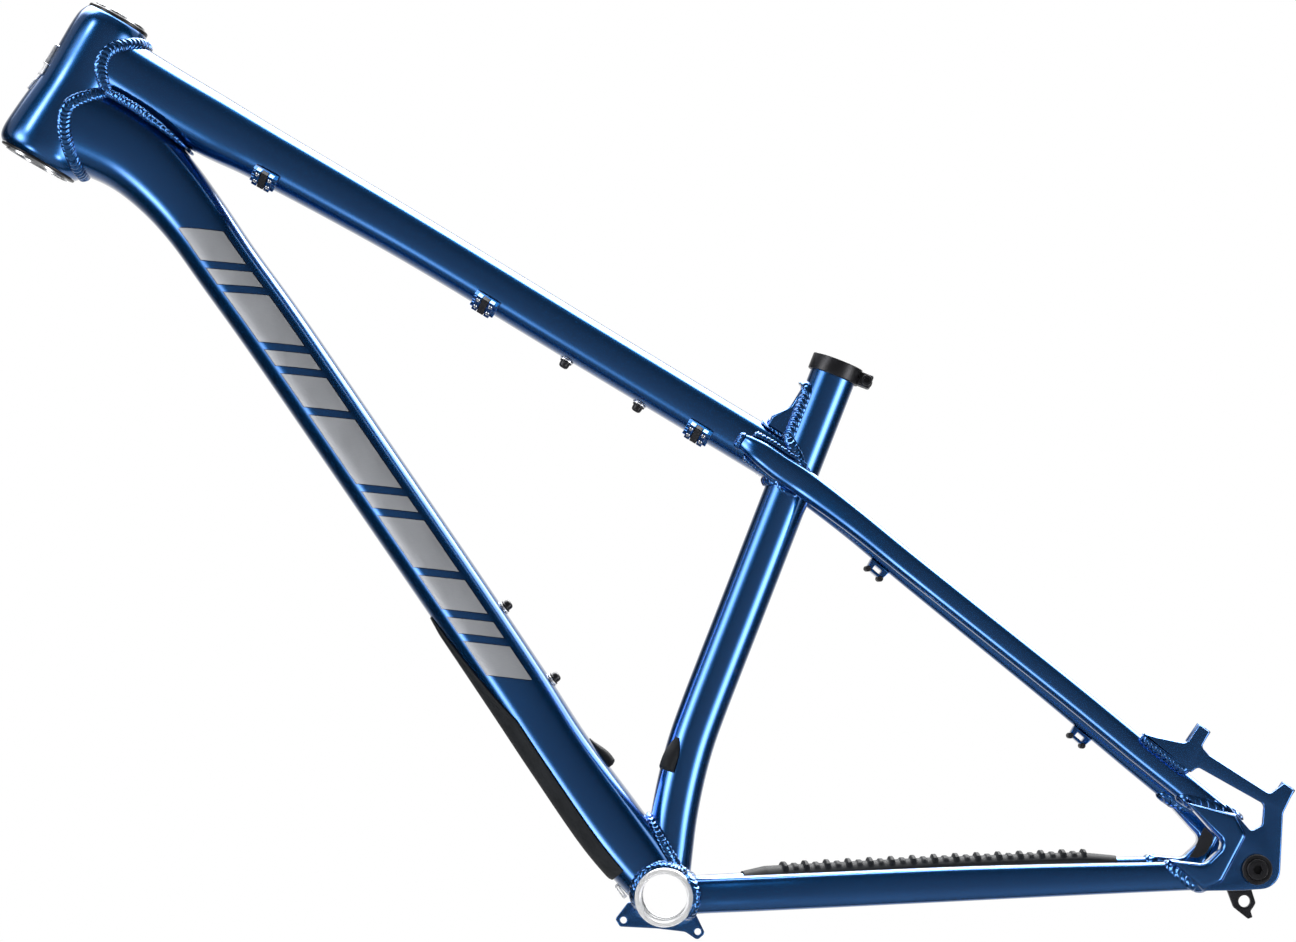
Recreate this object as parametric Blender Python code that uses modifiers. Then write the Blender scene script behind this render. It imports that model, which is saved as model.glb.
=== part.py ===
"""Aluminium mountain bike frame, as separate solids.

Metres. +X points to the rear wheel, -Y to the rider's left, +Z up.
The origin is the centre of the bottom bracket.
"""
import math

import bmesh
import bpy
from mathutils import Matrix, Vector

# ---- driving dimensions ----------------------------------------------------
GAP = 0.0003                 # air left between two pieces that touch
COVER_GAP = 0.0008           # air under a cover that wraps a faceted tube
WALL = 0.0018                # wall of the main tubes
STAY_WALL = 0.0015

REACH = 0.4662               # head tube top, ahead of the bottom bracket
STACK = 0.6260               # and above it
HEAD_ANGLE = math.radians(65.4)
HEAD_LENGTH = 0.1214

SEAT_ANGLE = math.radians(73.0)
SEAT_TUBE_RADIUS = 0.01745
SEAT_TUBE_TOP = (0.0974, 0.4036)
SEAT_TUBE_BORE = 0.0155

BB_RADIUS = 0.02185
BB_BORE = 0.01715
BB_HALF_WIDTH = 0.0365

AXLE = (0.4272, 0.0560)      # x and z of the rear axle
HUB_HALF_WIDTH = 0.074       # 148 mm between the dropouts
AXLE_RADIUS = 0.0060

# Outer radius of the head tube, down from its top face: distance, radius
HEAD_PROFILE = (
    (0.0000, 0.0248), (0.0022, 0.0264), (0.0080, 0.0288), (0.0180, 0.0298),
    (0.0320, 0.0300), (0.0450, 0.0301), (0.0600, 0.0308), (0.0750, 0.0325),
    (0.0880, 0.0340), (0.0990, 0.0350), (0.1080, 0.0356), (0.1140, 0.0353),
    (0.1185, 0.0339), (HEAD_LENGTH, 0.0313))
# Bore of the head tube: two bearing seats and a relieved middle
HEAD_BORE = (
    (HEAD_LENGTH, 0.0283), (0.1064, 0.0283), (0.1040, 0.0270), (0.0700, 0.0250),
    (0.0140, 0.0235), (0.0120, 0.0223), (0.0000, 0.0223))

# Stations of each formed tube: x, y, z of the centre, depth, width
TOP_TUBE = (
    (-0.4795, 0.0, 0.5989, 0.0486, 0.0565), (-0.4263, 0.0, 0.5711, 0.0490, 0.0540),
    (-0.3838, 0.0, 0.5506, 0.0476, 0.0490), (-0.3481, 0.0, 0.5347, 0.0432, 0.0440),
    (-0.2811, 0.0, 0.5035, 0.0394, 0.0400), (-0.2127, 0.0, 0.4703, 0.0373, 0.0395),
    (-0.1022, 0.0, 0.4140, 0.0365, 0.0390), (0.0227, 0.0, 0.3508, 0.0358, 0.0380),
    (0.0718, 0.0, 0.3259, 0.0358, 0.0370))
DOWN_TUBE = (
    (-0.5060, 0.0, 0.5485, 0.0670, 0.0655), (-0.4717, 0.0, 0.5385, 0.0656, 0.0645),
    (-0.4439, 0.0, 0.5253, 0.0618, 0.0615), (-0.4172, 0.0, 0.5034, 0.0551, 0.0570),
    (-0.3924, 0.0, 0.4774, 0.0507, 0.0535), (-0.3640, 0.0, 0.4430, 0.0493, 0.0520),
    (-0.3232, 0.0, 0.3949, 0.0496, 0.0520), (-0.2450, 0.0, 0.2986, 0.0492, 0.0520),
    (-0.1728, 0.0, 0.2095, 0.0489, 0.0520), (-0.1204, 0.0, 0.1439, 0.0484, 0.0530),
    (-0.0853, 0.0, 0.0989, 0.0477, 0.0560), (-0.0432, 0.0, 0.0489, 0.0502, 0.0600),
    (-0.0140, 0.0, 0.0170, 0.0460, 0.0600), (0.0000, 0.0, 0.0000, 0.0380, 0.0580))
SEAT_TUBE_LOW = (
    (0.0000, 0.0, 0.0000), (0.0008, 0.0, 0.0300), (0.0022, 0.0, 0.0600),
    (0.0058, 0.0, 0.0900), (0.0110, 0.0, 0.1170), (0.0181, 0.0, 0.1430),
    (0.0268, 0.0, 0.1720), (0.0430, 0.0, 0.2250))
CHAINSTAY = (
    (0.0050, 0.0235, 0.0005, 0.0268, 0.0200), (0.0300, 0.0262, 0.0038, 0.0268, 0.0205),
    (0.0700, 0.0345, 0.0089, 0.0267, 0.0200), (0.1200, 0.0435, 0.0155, 0.0263, 0.0190),
    (0.2150, 0.0540, 0.0278, 0.0254, 0.0180), (0.3000, 0.0630, 0.0382, 0.0234, 0.0175),
    (0.3650, 0.0695, 0.0456, 0.0213, 0.0170), (0.4100, 0.0735, 0.0508, 0.0206, 0.0165))
SEATSTAY = (
    (0.0320, 0.0190, 0.3428, 0.0110, 0.0060), (0.0390, 0.0208, 0.3385, 0.0152, 0.0105),
    (0.0480, 0.0218, 0.3330, 0.0182, 0.0130), (0.0620, 0.0222, 0.3242, 0.0200, 0.0142),
    (0.0840, 0.0240, 0.3115, 0.0208, 0.0145), (0.1220, 0.0335, 0.2864, 0.0193, 0.0145),
    (0.1700, 0.0435, 0.2524, 0.0187, 0.0145), (0.2780, 0.0565, 0.1779, 0.0187, 0.0145),
    (0.3360, 0.0635, 0.1367, 0.0188, 0.0150), (0.3720, 0.0680, 0.1115, 0.0188, 0.0155),
    (0.4200, 0.0725, 0.0774, 0.0188, 0.0155))
SECTION_POWER = 2.5          # 2 is an ellipse, more is squarer
TUBE_SIDES = 20
STAY_SIDES = 12
ROUND_STEPS = 28             # facets of a large turned piece

# Dropouts: corner x, z and corner radius, in the side view
STAY_CUT_LOW = ((0.3640, 0.0578), (0.3892, 0.0375))
STAY_CUT_HIGH = ((0.3725, 0.1010), (0.4095, 0.0948))
YOKE_THROAT = (
    (0.3640, 0.0578, 0.0005), (0.3896, 0.0572, 0.0080), (0.4028, 0.0722, 0.0060),
    (0.3725, 0.1010, 0.0005))
YOKE_RIDGE = (
    (0.4095, 0.0948, 0.0010), (0.4185, 0.0800, 0.0060), (0.4030, 0.0445, 0.0060),
    (0.3892, 0.0375, 0.0010))
HEEL = (
    (0.4445, 0.0440, 0.0150), (0.4180, 0.0402, 0.0100), (0.3892, 0.0375, 0.0010))
BRAKE_ARM = (
    (0.4099, 0.0947, 0.0010), (0.4212, 0.0833, 0.0035), (0.4290, 0.0880, 0.0040),
    (0.4292, 0.1036, 0.0045), (0.3800, 0.1265, 0.0035), (0.3745, 0.1220, 0.0020),
    (0.3362, 0.1485, 0.0005), (0.3480, 0.1458, 0.0080), (0.3700, 0.1430, 0.0040),
    (0.3785, 0.1576, 0.0010), (0.3868, 0.1525, 0.0010), (0.3815, 0.1415, 0.0030),
    (0.3874, 0.1357, 0.0030), (0.4329, 0.1112, 0.0040), (0.4429, 0.1198, 0.0010),
    (0.4506, 0.1153, 0.0010), (0.4435, 0.0980, 0.0080))
DRIVE_BACK = (
    (0.4095, 0.0948, 0.0010), (0.4240, 0.0850, 0.0080), (0.4435, 0.0760, 0.0100))
PLATE_THICKNESS = 0.0070
YOKE_INNER = 0.0625          # the raised yoke runs from here
YOKE_OUTER = 0.0835          # to here
POST_DIRECTION = Vector((0.505, 0.0, 0.863))
POSTS = ((0.38265, 0.15505), (0.44675, 0.11755))
POST_Y = 0.0730
POST_RADIUS = 0.0060

HANGER = (
    (0.4160, 0.0640, 0.0080), (0.4290, 0.0722, 0.0100), (0.4428, 0.0722, 0.0045),
    (0.4433, 0.0470, 0.0060), (0.4463, 0.0356, 0.0030), (0.4498, 0.0268, 0.0035),
    (0.4462, 0.0205, 0.0020), (0.4481, 0.0160, 0.0008), (0.4448, 0.0145, 0.0008),
    (0.4330, 0.0225, 0.0040), (0.4275, 0.0345, 0.0040), (0.4170, 0.0430, 0.0060))
HANGER_THICKNESS = 0.0060
DERAILLEUR_HOLE = (0.4410, 0.0277)
DERAILLEUR_HOLE_RADIUS = 0.0045
HANGER_BOLT = (0.4380, 0.0668)

GUIDE_PLATE_EARS = (
    (0.0190, -0.0118, 0.0002), (0.0235, -0.0125, 0.0008), (0.0320, -0.0270, 0.0030),
    (0.0265, -0.0325, 0.0030), (0.0170, -0.0270, 0.0080), (-0.0050, -0.0262, 0.0060),
    (-0.0325, -0.0270, 0.0025), (-0.0365, -0.0215, 0.0025), (-0.0280, -0.0085, 0.0020),
    (-0.0212, -0.0070, 0.0002))
GUIDE_PLATE_HOLES = ((-0.0302, -0.0219), (0.0263, -0.0261))
GUIDE_PLATE_Y = 0.0338
GUIDE_PLATE_THICKNESS = 0.0050

DOWN_TUBE_BOSSES = (-0.1568, -0.1165)      # x on the centre line
TOP_TUBE_BOSSES = (-0.0966, -0.0395)
TOP_TUBE_GUIDES = (-0.3350, -0.1620, 0.0045)
GUIDE_ANGLE = math.radians(-135.0)   # on the lower left of the tube
SEATSTAY_GUIDES = (0.1480, 0.3120)
DOWN_GUARD_ENDS = (-0.1720, -0.0220)
CHAIN_GUARD_ENDS = (0.0580, 0.3400)
CLAMP_HEIGHT = 0.0123
CLAMP_RADIUS = 0.0199
CLAMP_BOLT_BACK = 0.0248
BALL_COUNT = 10
BADGE = ((0.0380, 0.0024), (0.0460, 0.0024), (0.0540, 0.0022), (0.0620, 0.0018),
         (0.0700, 0.0015), (0.0780, 0.0012))       # distance down the head tube, thickness

COLOURS = {                  # colour, metallic, roughness
    "blue": ((0.010, 0.080, 0.260), 0.75, 0.25),
    "silver": ((0.78, 0.78, 0.79), 1.0, 0.28),
    "black": ((0.015, 0.015, 0.017), 0.6, 0.35),
    "rubber": ((0.055, 0.058, 0.064), 0.0, 0.65),
    "steel": ((0.55, 0.56, 0.58), 1.0, 0.25)}


# ---- scene, materials and collections --------------------------------------
def clear_scene():
    for item in list(bpy.data.objects):
        bpy.data.objects.remove(item, do_unlink=True)


def make_collection(name):
    collection = bpy.data.collections.new(name)
    bpy.context.scene.collection.children.link(collection)
    return collection


def make_materials():
    made = {}
    for name, (colour, metallic, roughness) in COLOURS.items():
        material = bpy.data.materials.new(name)
        material.use_nodes = True
        shader = material.node_tree.nodes["Principled BSDF"]
        shader.inputs["Base Color"].default_value = (*colour, 1.0)
        shader.inputs["Metallic"].default_value = metallic
        shader.inputs["Roughness"].default_value = roughness
        made[name] = material
    return made


clear_scene()
PARTS = make_collection("bicycle_frame")
CUTTERS = make_collection("cutters")
MATERIALS = make_materials()


def add_object(name, mesh, material, matrix=None):
    """A finished piece, or a cutter where the material is None."""
    item = bpy.data.objects.new(name, mesh)
    if matrix is not None:
        item.matrix_world = matrix
    if material is None:
        CUTTERS.objects.link(item)
        item.hide_render = True
        item.display_type = "WIRE"
    else:
        PARTS.objects.link(item)
        mesh.materials.append(MATERIALS[material])
    return item


def mesh_from_bmesh(name, shape, smooth_angle=40.0):
    bmesh.ops.recalc_face_normals(shape, faces=shape.faces)
    mesh = bpy.data.meshes.new(name)
    shape.to_mesh(mesh)
    shape.free()
    mesh.shade_smooth()
    mesh.set_sharp_from_angle(angle=math.radians(smooth_angle))
    return mesh


def cut(item, *cutters):
    for cutter in cutters:
        modifier = item.modifiers.new("cut_" + cutter.name, "BOOLEAN")
        modifier.operation = "DIFFERENCE"
        modifier.solver = "EXACT"
        modifier.object = cutter


def join(item, *others):
    for other in others:
        modifier = item.modifiers.new("join_" + other.name, "BOOLEAN")
        modifier.operation = "UNION"
        modifier.solver = "EXACT"
        modifier.object = other


# ---- formed tubes ------------------------------------------------------------
def catmull(before, start, end, after, t):
    """A point of the smooth curve through start and end."""
    values = []
    for a, b, c, d in zip(before, start, end, after):
        values.append(0.5 * (2 * b + (c - a) * t + (2 * a - 5 * b + 4 * c - d) * t * t
                             + (3 * b - a - 3 * c + d) * t ** 3))
    return values


class Tube:
    """A tube that follows its stations, with a section that changes on the way."""

    def __init__(self, stations, side=1.0, sides=TUBE_SIDES, power=SECTION_POWER, steps=1):
        self.sides = sides
        self.power = power
        rows = []
        last = len(stations) - 1
        for index in range(last):
            around = [stations[max(index - 1, 0)], stations[index],
                      stations[index + 1], stations[min(index + 2, last)]]
            for step in range(steps):
                rows.append(catmull(*around, step / steps))
        rows.append(list(stations[last]))
        self.centres = [Vector((row[0], row[1] * side, row[2])) for row in rows]
        self.depths = [row[3] for row in rows]
        self.widths = [row[4] for row in rows]

    def frame(self, index):
        """Directions along, across and up at a ring."""
        before = self.centres[max(index - 1, 0)]
        after = self.centres[min(index + 1, len(self.centres) - 1)]
        along = (after - before).normalized()
        across = along.cross(Vector((0.0, 0.0, 1.0))).normalized()
        if across.y < 0:
            across.negate()
        up = across.cross(along).normalized()
        if up.z < -0.01:
            up.negate()
        return along, across, up

    def point(self, index, angle, offset=0.0):
        """A point of ring `index`; angle 0 is +Y and a quarter turn is up."""
        _, across, up = self.frame(index)
        cosine, sine = math.cos(angle), math.sin(angle)
        half_width = self.widths[index] / 2 + offset
        half_depth = self.depths[index] / 2 + offset
        across_part = math.copysign(abs(cosine) ** (2 / self.power), cosine)
        up_part = math.copysign(abs(sine) ** (2 / self.power), sine)
        return self.centres[index] + across * half_width * across_part + up * half_depth * up_part

    def between(self, place, angle, offset=0.0):
        """The same, at a place between two rings."""
        index = min(int(place), len(self.centres) - 2)
        start = self.point(index, angle, offset)
        return start.lerp(self.point(index + 1, angle, offset), place - index)

    def ring(self, index, offset=0.0):
        step = 2 * math.pi / self.sides
        return [self.point(index, step * (k + 0.5), offset) for k in range(self.sides)]

    def at(self, axis, value):
        """The ring position, as a float, where the centre line's x or z has a value."""
        for index in range(len(self.centres) - 1):
            low = self.centres[index][axis]
            high = self.centres[index + 1][axis]
            if min(low, high) <= value <= max(low, high):
                return index + (value - low) / (high - low)
        raise ValueError("no such place on the tube")

    def seat(self, axis, value, angle):
        """A frame on the surface: local Z out of the tube, local X along it."""
        place = self.at(axis, value)
        index = int(place)
        surface = self.between(place, angle)
        along = (self.centres[index + 1] - self.centres[index]).normalized()
        _, across, up = self.frame(index)
        out = (across * math.cos(angle) + up * math.sin(angle)).normalized()
        out = (out - along * out.dot(along)).normalized()
        side = out.cross(along)
        matrix = Matrix((along, side, out)).transposed().to_4x4()
        matrix.translation = surface
        return matrix


def loft(name, rings, closed_ends):
    """Quads between closed rings of equal length."""
    shape = bmesh.new()
    rows = [[shape.verts.new(point) for point in ring] for ring in rings]
    count = len(rows[0])
    for first, second in zip(rows, rows[1:]):
        for k in range(count):
            following = (k + 1) % count
            shape.faces.new((first[k], first[following], second[following], second[k]))
    if closed_ends:
        shape.faces.new(rows[0])
        shape.faces.new(reversed(rows[-1]))
        return mesh_from_bmesh(name, shape)
    centre = sum(rings[0], Vector()) / count
    face = shape.faces[:][0]
    face.normal_update()
    if face.normal.dot(face.calc_center_median() - centre) < 0:
        bmesh.ops.reverse_faces(shape, faces=shape.faces)
    mesh = bpy.data.meshes.new(name)
    shape.to_mesh(mesh)
    shape.free()
    mesh.shade_smooth()
    return mesh


def hollow_tube(name, tube, wall, material="blue"):
    rings = [tube.ring(index) for index in range(len(tube.centres))]
    item = add_object(name, loft(name, rings, False), material)
    shell = item.modifiers.new("wall", "SOLIDIFY")
    shell.thickness = wall
    shell.offset = -1.0
    return item


def tube_cutter(name, tube, grow=GAP):
    rings = [tube.ring(index, grow) for index in range(len(tube.centres))]
    return add_object(name + "_cutter", loft(name, rings, True), None)


def band(name, tube, ends, reach, thickness, material, steps=10):
    """A fitted cover: an arc of each ring between two x values, thick and closed.

    reach(part) gives the two angles of the arc, and thickness(part) its height.
    """
    first, last = [tube.at(0, x) for x in ends]
    whole = set(range(int(first) + 1, int(last) + 1))
    places = sorted(whole.union(first + (last - first) * k / 10 for k in range(11)))
    rings = []
    for place in places:
        part = (place - first) / (last - first)
        low, high = reach(part)
        angles = [low + (high - low) * k / steps for k in range(steps + 1)]
        inner = [tube.between(place, angle, COVER_GAP) for angle in angles]
        outer = [tube.between(place, angle, COVER_GAP + thickness(part)) for angle in angles]
        rings.append(inner + outer[::-1])
    return add_object(name, loft(name, rings, True), material)


# ---- turned pieces and plates ----------------------------------------------
def turned(name, profile, material, matrix, steps=24):
    """Turns a closed loop of (radius, height) about local Z."""
    mesh = bpy.data.meshes.new(name)
    points = [(radius, 0.0, height) for radius, height in profile]
    on_axis = profile[0][0] == 0.0
    count = len(points)
    edges = [(k, k + 1) for k in range(count - 1)]
    if not on_axis:
        edges.append((count - 1, 0))
    mesh.from_pydata(points, edges, [])
    item = add_object(name, mesh, material, matrix)
    screw = item.modifiers.new("turn", "SCREW")
    screw.axis = "Z"
    screw.angle = 2 * math.pi
    screw.steps = steps
    screw.render_steps = steps
    screw.use_smooth_shade = True
    screw.use_merge_vertices = on_axis
    screw.merge_threshold = 0.00005
    return item


def rounded(corners, steps=3):
    """An outline whose corners (x, z, radius) are turned into arcs."""
    points = []
    count = len(corners)
    for k, (x, z, radius) in enumerate(corners):
        corner = Vector((x, z))
        before = Vector(corners[k - 1][:2]) - corner
        after = Vector(corners[(k + 1) % count][:2]) - corner
        half = before.angle(after) / 2
        reach = min(radius / math.tan(half), before.length * 0.48, after.length * 0.48)
        radius = reach * math.tan(half)
        middle = corner + (before.normalized() + after.normalized()).normalized() * (
            radius / math.sin(half))
        start = corner + before.normalized() * reach - middle
        end = corner + after.normalized() * reach - middle
        sweep = start.angle_signed(end)
        for step in range(steps + 1):
            turn = Matrix.Rotation(-sweep * step / steps, 2)
            points.append(middle + turn @ start)
    return points


def circle(x, z, radius, sides=16):
    turns = [2 * math.pi * k / sides for k in range(sides)]
    return [Vector((x + radius * math.cos(a), z + radius * math.sin(a))) for a in turns]


def plate(name, outlines, thickness, matrix, material):
    """A flat outline with holes, given its thickness, as a closed mesh."""
    curve = bpy.data.curves.new(name, "CURVE")
    curve.dimensions = "2D"
    curve.fill_mode = "BOTH"
    curve.extrude = thickness / 2
    for outline in outlines:
        spline = curve.splines.new("POLY")
        spline.points.add(len(outline) - 1)
        spline.use_cyclic_u = True
        for point, place in zip(spline.points, outline):
            point.co = (place[0], place[1], 0.0, 1.0)
    source = bpy.data.objects.new(name + "_outline", curve)
    PARTS.objects.link(source)
    evaluated = source.evaluated_get(bpy.context.evaluated_depsgraph_get())
    mesh = bpy.data.meshes.new_from_object(evaluated)
    bpy.data.objects.remove(source, do_unlink=True)
    shape = bmesh.new()
    shape.from_mesh(mesh)
    bmesh.ops.remove_doubles(shape, verts=shape.verts, dist=0.000001)
    flat = mesh_from_bmesh(name, shape, 30.0)
    return add_object(name, flat, material, matrix)


def side_plane(y):
    """Places an outline of x and z at a given y."""
    return Matrix.Translation((0.0, y, 0.0)) @ Matrix.Rotation(math.pi / 2, 4, "X")


def block(name, size, matrix, material):
    shape = bmesh.new()
    bmesh.ops.create_cube(shape, size=1.0, matrix=Matrix.Diagonal((*size, 1.0)))
    return add_object(name, mesh_from_bmesh(name, shape, 30.0), material, matrix)


def cylinder(name, radius, length, matrix, material=None, sides=16):
    shape = bmesh.new()
    bmesh.ops.create_cone(shape, cap_ends=True, segments=sides, radius1=radius,
                          radius2=radius, depth=length)
    return add_object(name, mesh_from_bmesh(name, shape, 30.0), material, matrix)


def along_y(x, y, z):
    """Local Z points to -Y."""
    return Matrix.Translation((x, y, z)) @ Matrix.Rotation(math.pi / 2, 4, "X")


def leaning(x, z, angle):
    """Local Z leans back from vertical, as the head and seat tubes do."""
    return Matrix.Translation((x, 0.0, z)) @ Matrix.Rotation(math.pi / 2 - angle, 4, "Y")


def saw(name, line, keep):
    """A block whose face lies on a line of the side view, clear of the point to keep."""
    start, end = Vector(line[0]), Vector(line[1])
    along = (end - start).normalized()
    out = Vector((-along.y, along.x))
    if out.dot(Vector(keep) - start) > 0:
        out.negate()
    size = 0.16
    centre = (start + end) / 2 + out * (size / 2 - GAP)
    turn = Matrix.Rotation(-math.atan2(along.y, along.x), 4, "Y")
    return block(name, (size, 0.4, size),
                 Matrix.Translation((centre.x, 0.0, centre.y)) @ turn, None)


# ---- the welded frame ------------------------------------------------------
def seat_axis(distance):
    """x and z on the seat tube's axis, a distance above its top face."""
    return (SEAT_TUBE_TOP[0] + distance * math.cos(SEAT_ANGLE),
            SEAT_TUBE_TOP[1] + distance * math.sin(SEAT_ANGLE))


def seat_tube_stations():
    diameter = 2 * SEAT_TUBE_RADIUS
    rows = [(*place, diameter, diameter) for place in SEAT_TUBE_LOW]
    for distance in (-0.09, -0.04, 0.0):
        x, z = seat_axis(distance)
        rows.append((x, 0.0, z, diameter, diameter))
    return rows


HEAD_MATRIX = leaning(-REACH, STACK, HEAD_ANGLE)
TOP = Tube(TOP_TUBE)
DOWN = Tube(DOWN_TUBE)
SEAT = Tube(seat_tube_stations(), power=2.0)
CHAIN = {"left": Tube(CHAINSTAY, -1.0, STAY_SIDES, steps=2),
         "right": Tube(CHAINSTAY, 1.0, STAY_SIDES, steps=2)}
STAY = {"left": Tube(SEATSTAY, -1.0, STAY_SIDES), "right": Tube(SEATSTAY, 1.0, STAY_SIDES)}


def make_cutters():
    grown = [(0.0, 0.0)]
    grown += [(radius + GAP, -distance) for distance, radius in HEAD_PROFILE]
    grown += [(0.0, -HEAD_LENGTH)]
    made = {"head": turned("head_tube_cutter", grown, None, HEAD_MATRIX)}
    made["top"] = tube_cutter("top_tube", TOP)
    made["seat"] = tube_cutter("seat_tube", SEAT)
    made["shell"] = cylinder("shell_cutter", BB_RADIUS + GAP, 4 * BB_HALF_WIDTH,
                             along_y(0.0, 0.0, 0.0), sides=ROUND_STEPS)
    made["low_saw"] = saw("chainstay_saw", STAY_CUT_LOW, (0.3, 0.04))
    made["high_saw"] = saw("seatstay_saw", STAY_CUT_HIGH, (0.3, 0.16))
    return made


def make_main_tubes(cutters):
    profile = [(radius, -distance) for distance, radius in HEAD_PROFILE]
    profile += [(radius, -distance) for distance, radius in HEAD_BORE]
    turned("head_tube", profile, "blue", HEAD_MATRIX, steps=ROUND_STEPS)
    half = BB_HALF_WIDTH
    chamfer = 0.0008
    shell = [(BB_RADIUS - chamfer, half), (BB_RADIUS, half - chamfer),
             (BB_RADIUS, chamfer - half), (BB_RADIUS - chamfer, -half),
             (BB_BORE + chamfer, -half), (BB_BORE, chamfer - half),
             (BB_BORE, half - chamfer), (BB_BORE + chamfer, half)]
    turned("bottom_bracket_shell", shell, "silver", along_y(0.0, 0.0, 0.0), steps=ROUND_STEPS)
    top = hollow_tube("top_tube", TOP, WALL)
    cut(top, cutters["head"], cutters["seat"])
    down = hollow_tube("down_tube", DOWN, WALL)
    cut(down, cutters["head"], cutters["top"], cutters["seat"], cutters["shell"])
    seat = hollow_tube("seat_tube", SEAT, SEAT_TUBE_RADIUS - SEAT_TUBE_BORE)
    cut(seat, cutters["shell"])
    return top, down


def make_stays(cutters):
    for side in ("left", "right"):
        chain = hollow_tube("chainstay_" + side, CHAIN[side], STAY_WALL)
        cut(chain, cutters["shell"], cutters["seat"], cutters["low_saw"])
        stay = hollow_tube("seatstay_" + side, STAY[side], STAY_WALL)
        cut(stay, cutters["seat"], cutters["top"], cutters["high_saw"])


def make_gusset(cutters):
    corners = ((0.0490, 0.3560, 0.001), (0.0520, 0.3640, 0.002), (0.0650, 0.3715, 0.012),
               (0.0735, 0.3880, 0.001), (0.0900, 0.3760, 0.001), (0.0800, 0.3400, 0.001))
    gusset = plate("seat_tube_gusset", [rounded(corners, 5)], 0.022, side_plane(0.0), "blue")
    cut(gusset, cutters["top"], cutters["seat"])


def make_dropout(side):
    sign = -1.0 if side == "left" else 1.0
    back = BRAKE_ARM if side == "left" else DRIVE_BACK
    outline = rounded(YOKE_THROAT + back + HEEL)
    middle = sign * (HUB_HALF_WIDTH + PLATE_THICKNESS / 2)
    item = plate("dropout_" + side, [outline], PLATE_THICKNESS, side_plane(middle), "blue")
    yoke = plate("yoke_" + side, [rounded(YOKE_THROAT + YOKE_RIDGE)], YOKE_OUTER - YOKE_INNER,
                 side_plane(sign * (YOKE_OUTER + YOKE_INNER) / 2), None)
    join(item, yoke)
    turn = POST_DIRECTION.to_track_quat("Z", "Y").to_matrix().to_4x4()
    if side == "left":
        for number, (x, z) in enumerate(POSTS, 1):
            tip = Vector((x, -POST_Y, z))
            length = 0.016
            centre = tip - POST_DIRECTION * (length / 2 - 0.0006)
            post = cylinder("post_%d" % number, POST_RADIUS, length,
                            Matrix.Translation(centre) @ turn)
            join(item, post)
            hole = cylinder("post_hole_%d" % number, 0.0026, 0.028,
                            Matrix.Translation(tip) @ turn, sides=12)
            cut(item, hole)
    hole = cylinder("axle_hole_" + side, AXLE_RADIUS + 0.0004, 0.03,
                    along_y(AXLE[0], middle, AXLE[1]), sides=24)
    cut(item, hole)
    if side == "right":
        hole = cylinder("hanger_bolt_hole", 0.0023, 0.05,
                        along_y(HANGER_BOLT[0], middle, HANGER_BOLT[1]), sides=12)
        cut(item, hole)


def make_hanger():
    inner = HUB_HALF_WIDTH + PLATE_THICKNESS + GAP
    holes = [circle(*AXLE, 0.0083, 24), circle(*DERAILLEUR_HOLE, DERAILLEUR_HOLE_RADIUS),
             circle(*HANGER_BOLT, 0.0023, 12)]
    plate("derailleur_hanger", [rounded(HANGER)] + holes, HANGER_THICKNESS,
          side_plane(inner + HANGER_THICKNESS / 2), "black")
    outer = inner + HANGER_THICKNESS
    nut = [(0.0100, 0.0030), (0.0100, GAP), (0.0080, GAP), (0.0080, GAP - HANGER_THICKNESS),
           (0.0063, GAP - HANGER_THICKNESS), (0.0063, 0.0030)]
    facing = Matrix.Translation((AXLE[0], outer, AXLE[1])) @ Matrix.Rotation(-math.pi / 2, 4, "X")
    turned("axle_nut", nut, "black", facing, steps=24)
    bolt = [(0.0, 0.0021), (0.0030, 0.0021), (0.0036, 0.0014), (0.0036, GAP), (0.0020, GAP),
            (0.0020, -0.0110), (0.0, -0.0110)]
    place = Matrix.Translation((HANGER_BOLT[0], outer, HANGER_BOLT[1]))
    turned("hanger_bolt", bolt, "black", place @ Matrix.Rotation(-math.pi / 2, 4, "X"), steps=12)
    corners = ((0.4042, 0.0824, 0.001), (0.4112, 0.0760, 0.004), (0.4116, 0.0705, 0.004),
               (0.4061, 0.0613, 0.004), (0.4010, 0.0585, 0.003), (0.3937, 0.0580, 0.001),
               (0.3972, 0.0631, 0.003))
    plate("dropout_inner_plate", [rounded(corners)], 0.0012,
          side_plane(YOKE_INNER - GAP - 0.0006), "black")


def make_guide_plate():
    ring = BB_RADIUS + GAP
    ears = rounded(GUIDE_PLATE_EARS)
    low = math.atan2(ears[-1].y, ears[-1].x)
    high = math.atan2(ears[0].y, ears[0].x)
    steps = 12
    hugging = []
    for step in range(steps + 1):
        angle = low + (high - low) * step / steps
        hugging.append(Vector((ring * math.cos(angle), ring * math.sin(angle))))
    holes = [circle(x, z, 0.0025, 12) for x, z in GUIDE_PLATE_HOLES]
    plate("chain_guide_plate", [ears + hugging] + holes, GUIDE_PLATE_THICKNESS,
          side_plane(GUIDE_PLATE_Y), "blue")


# ---- guides, covers and fittings ---------------------------------------------
def guide_section(width, height):
    """A saddle with two grooves for hoses, seen along the tube."""
    groove = 0.0024
    points = [Vector((-width / 2, 0.0)), Vector((width / 2, 0.0))]
    for centre in (width / 4, -width / 4):
        points.append(Vector((centre + groove + 0.0004, height)))
        for step in range(7):
            angle = -math.pi * step / 6
            points.append(Vector((centre + groove * math.cos(angle),
                                  height - 0.0002 + groove * math.sin(angle))))
        points.append(Vector((centre - groove - 0.0004, height)))
    return points


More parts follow.
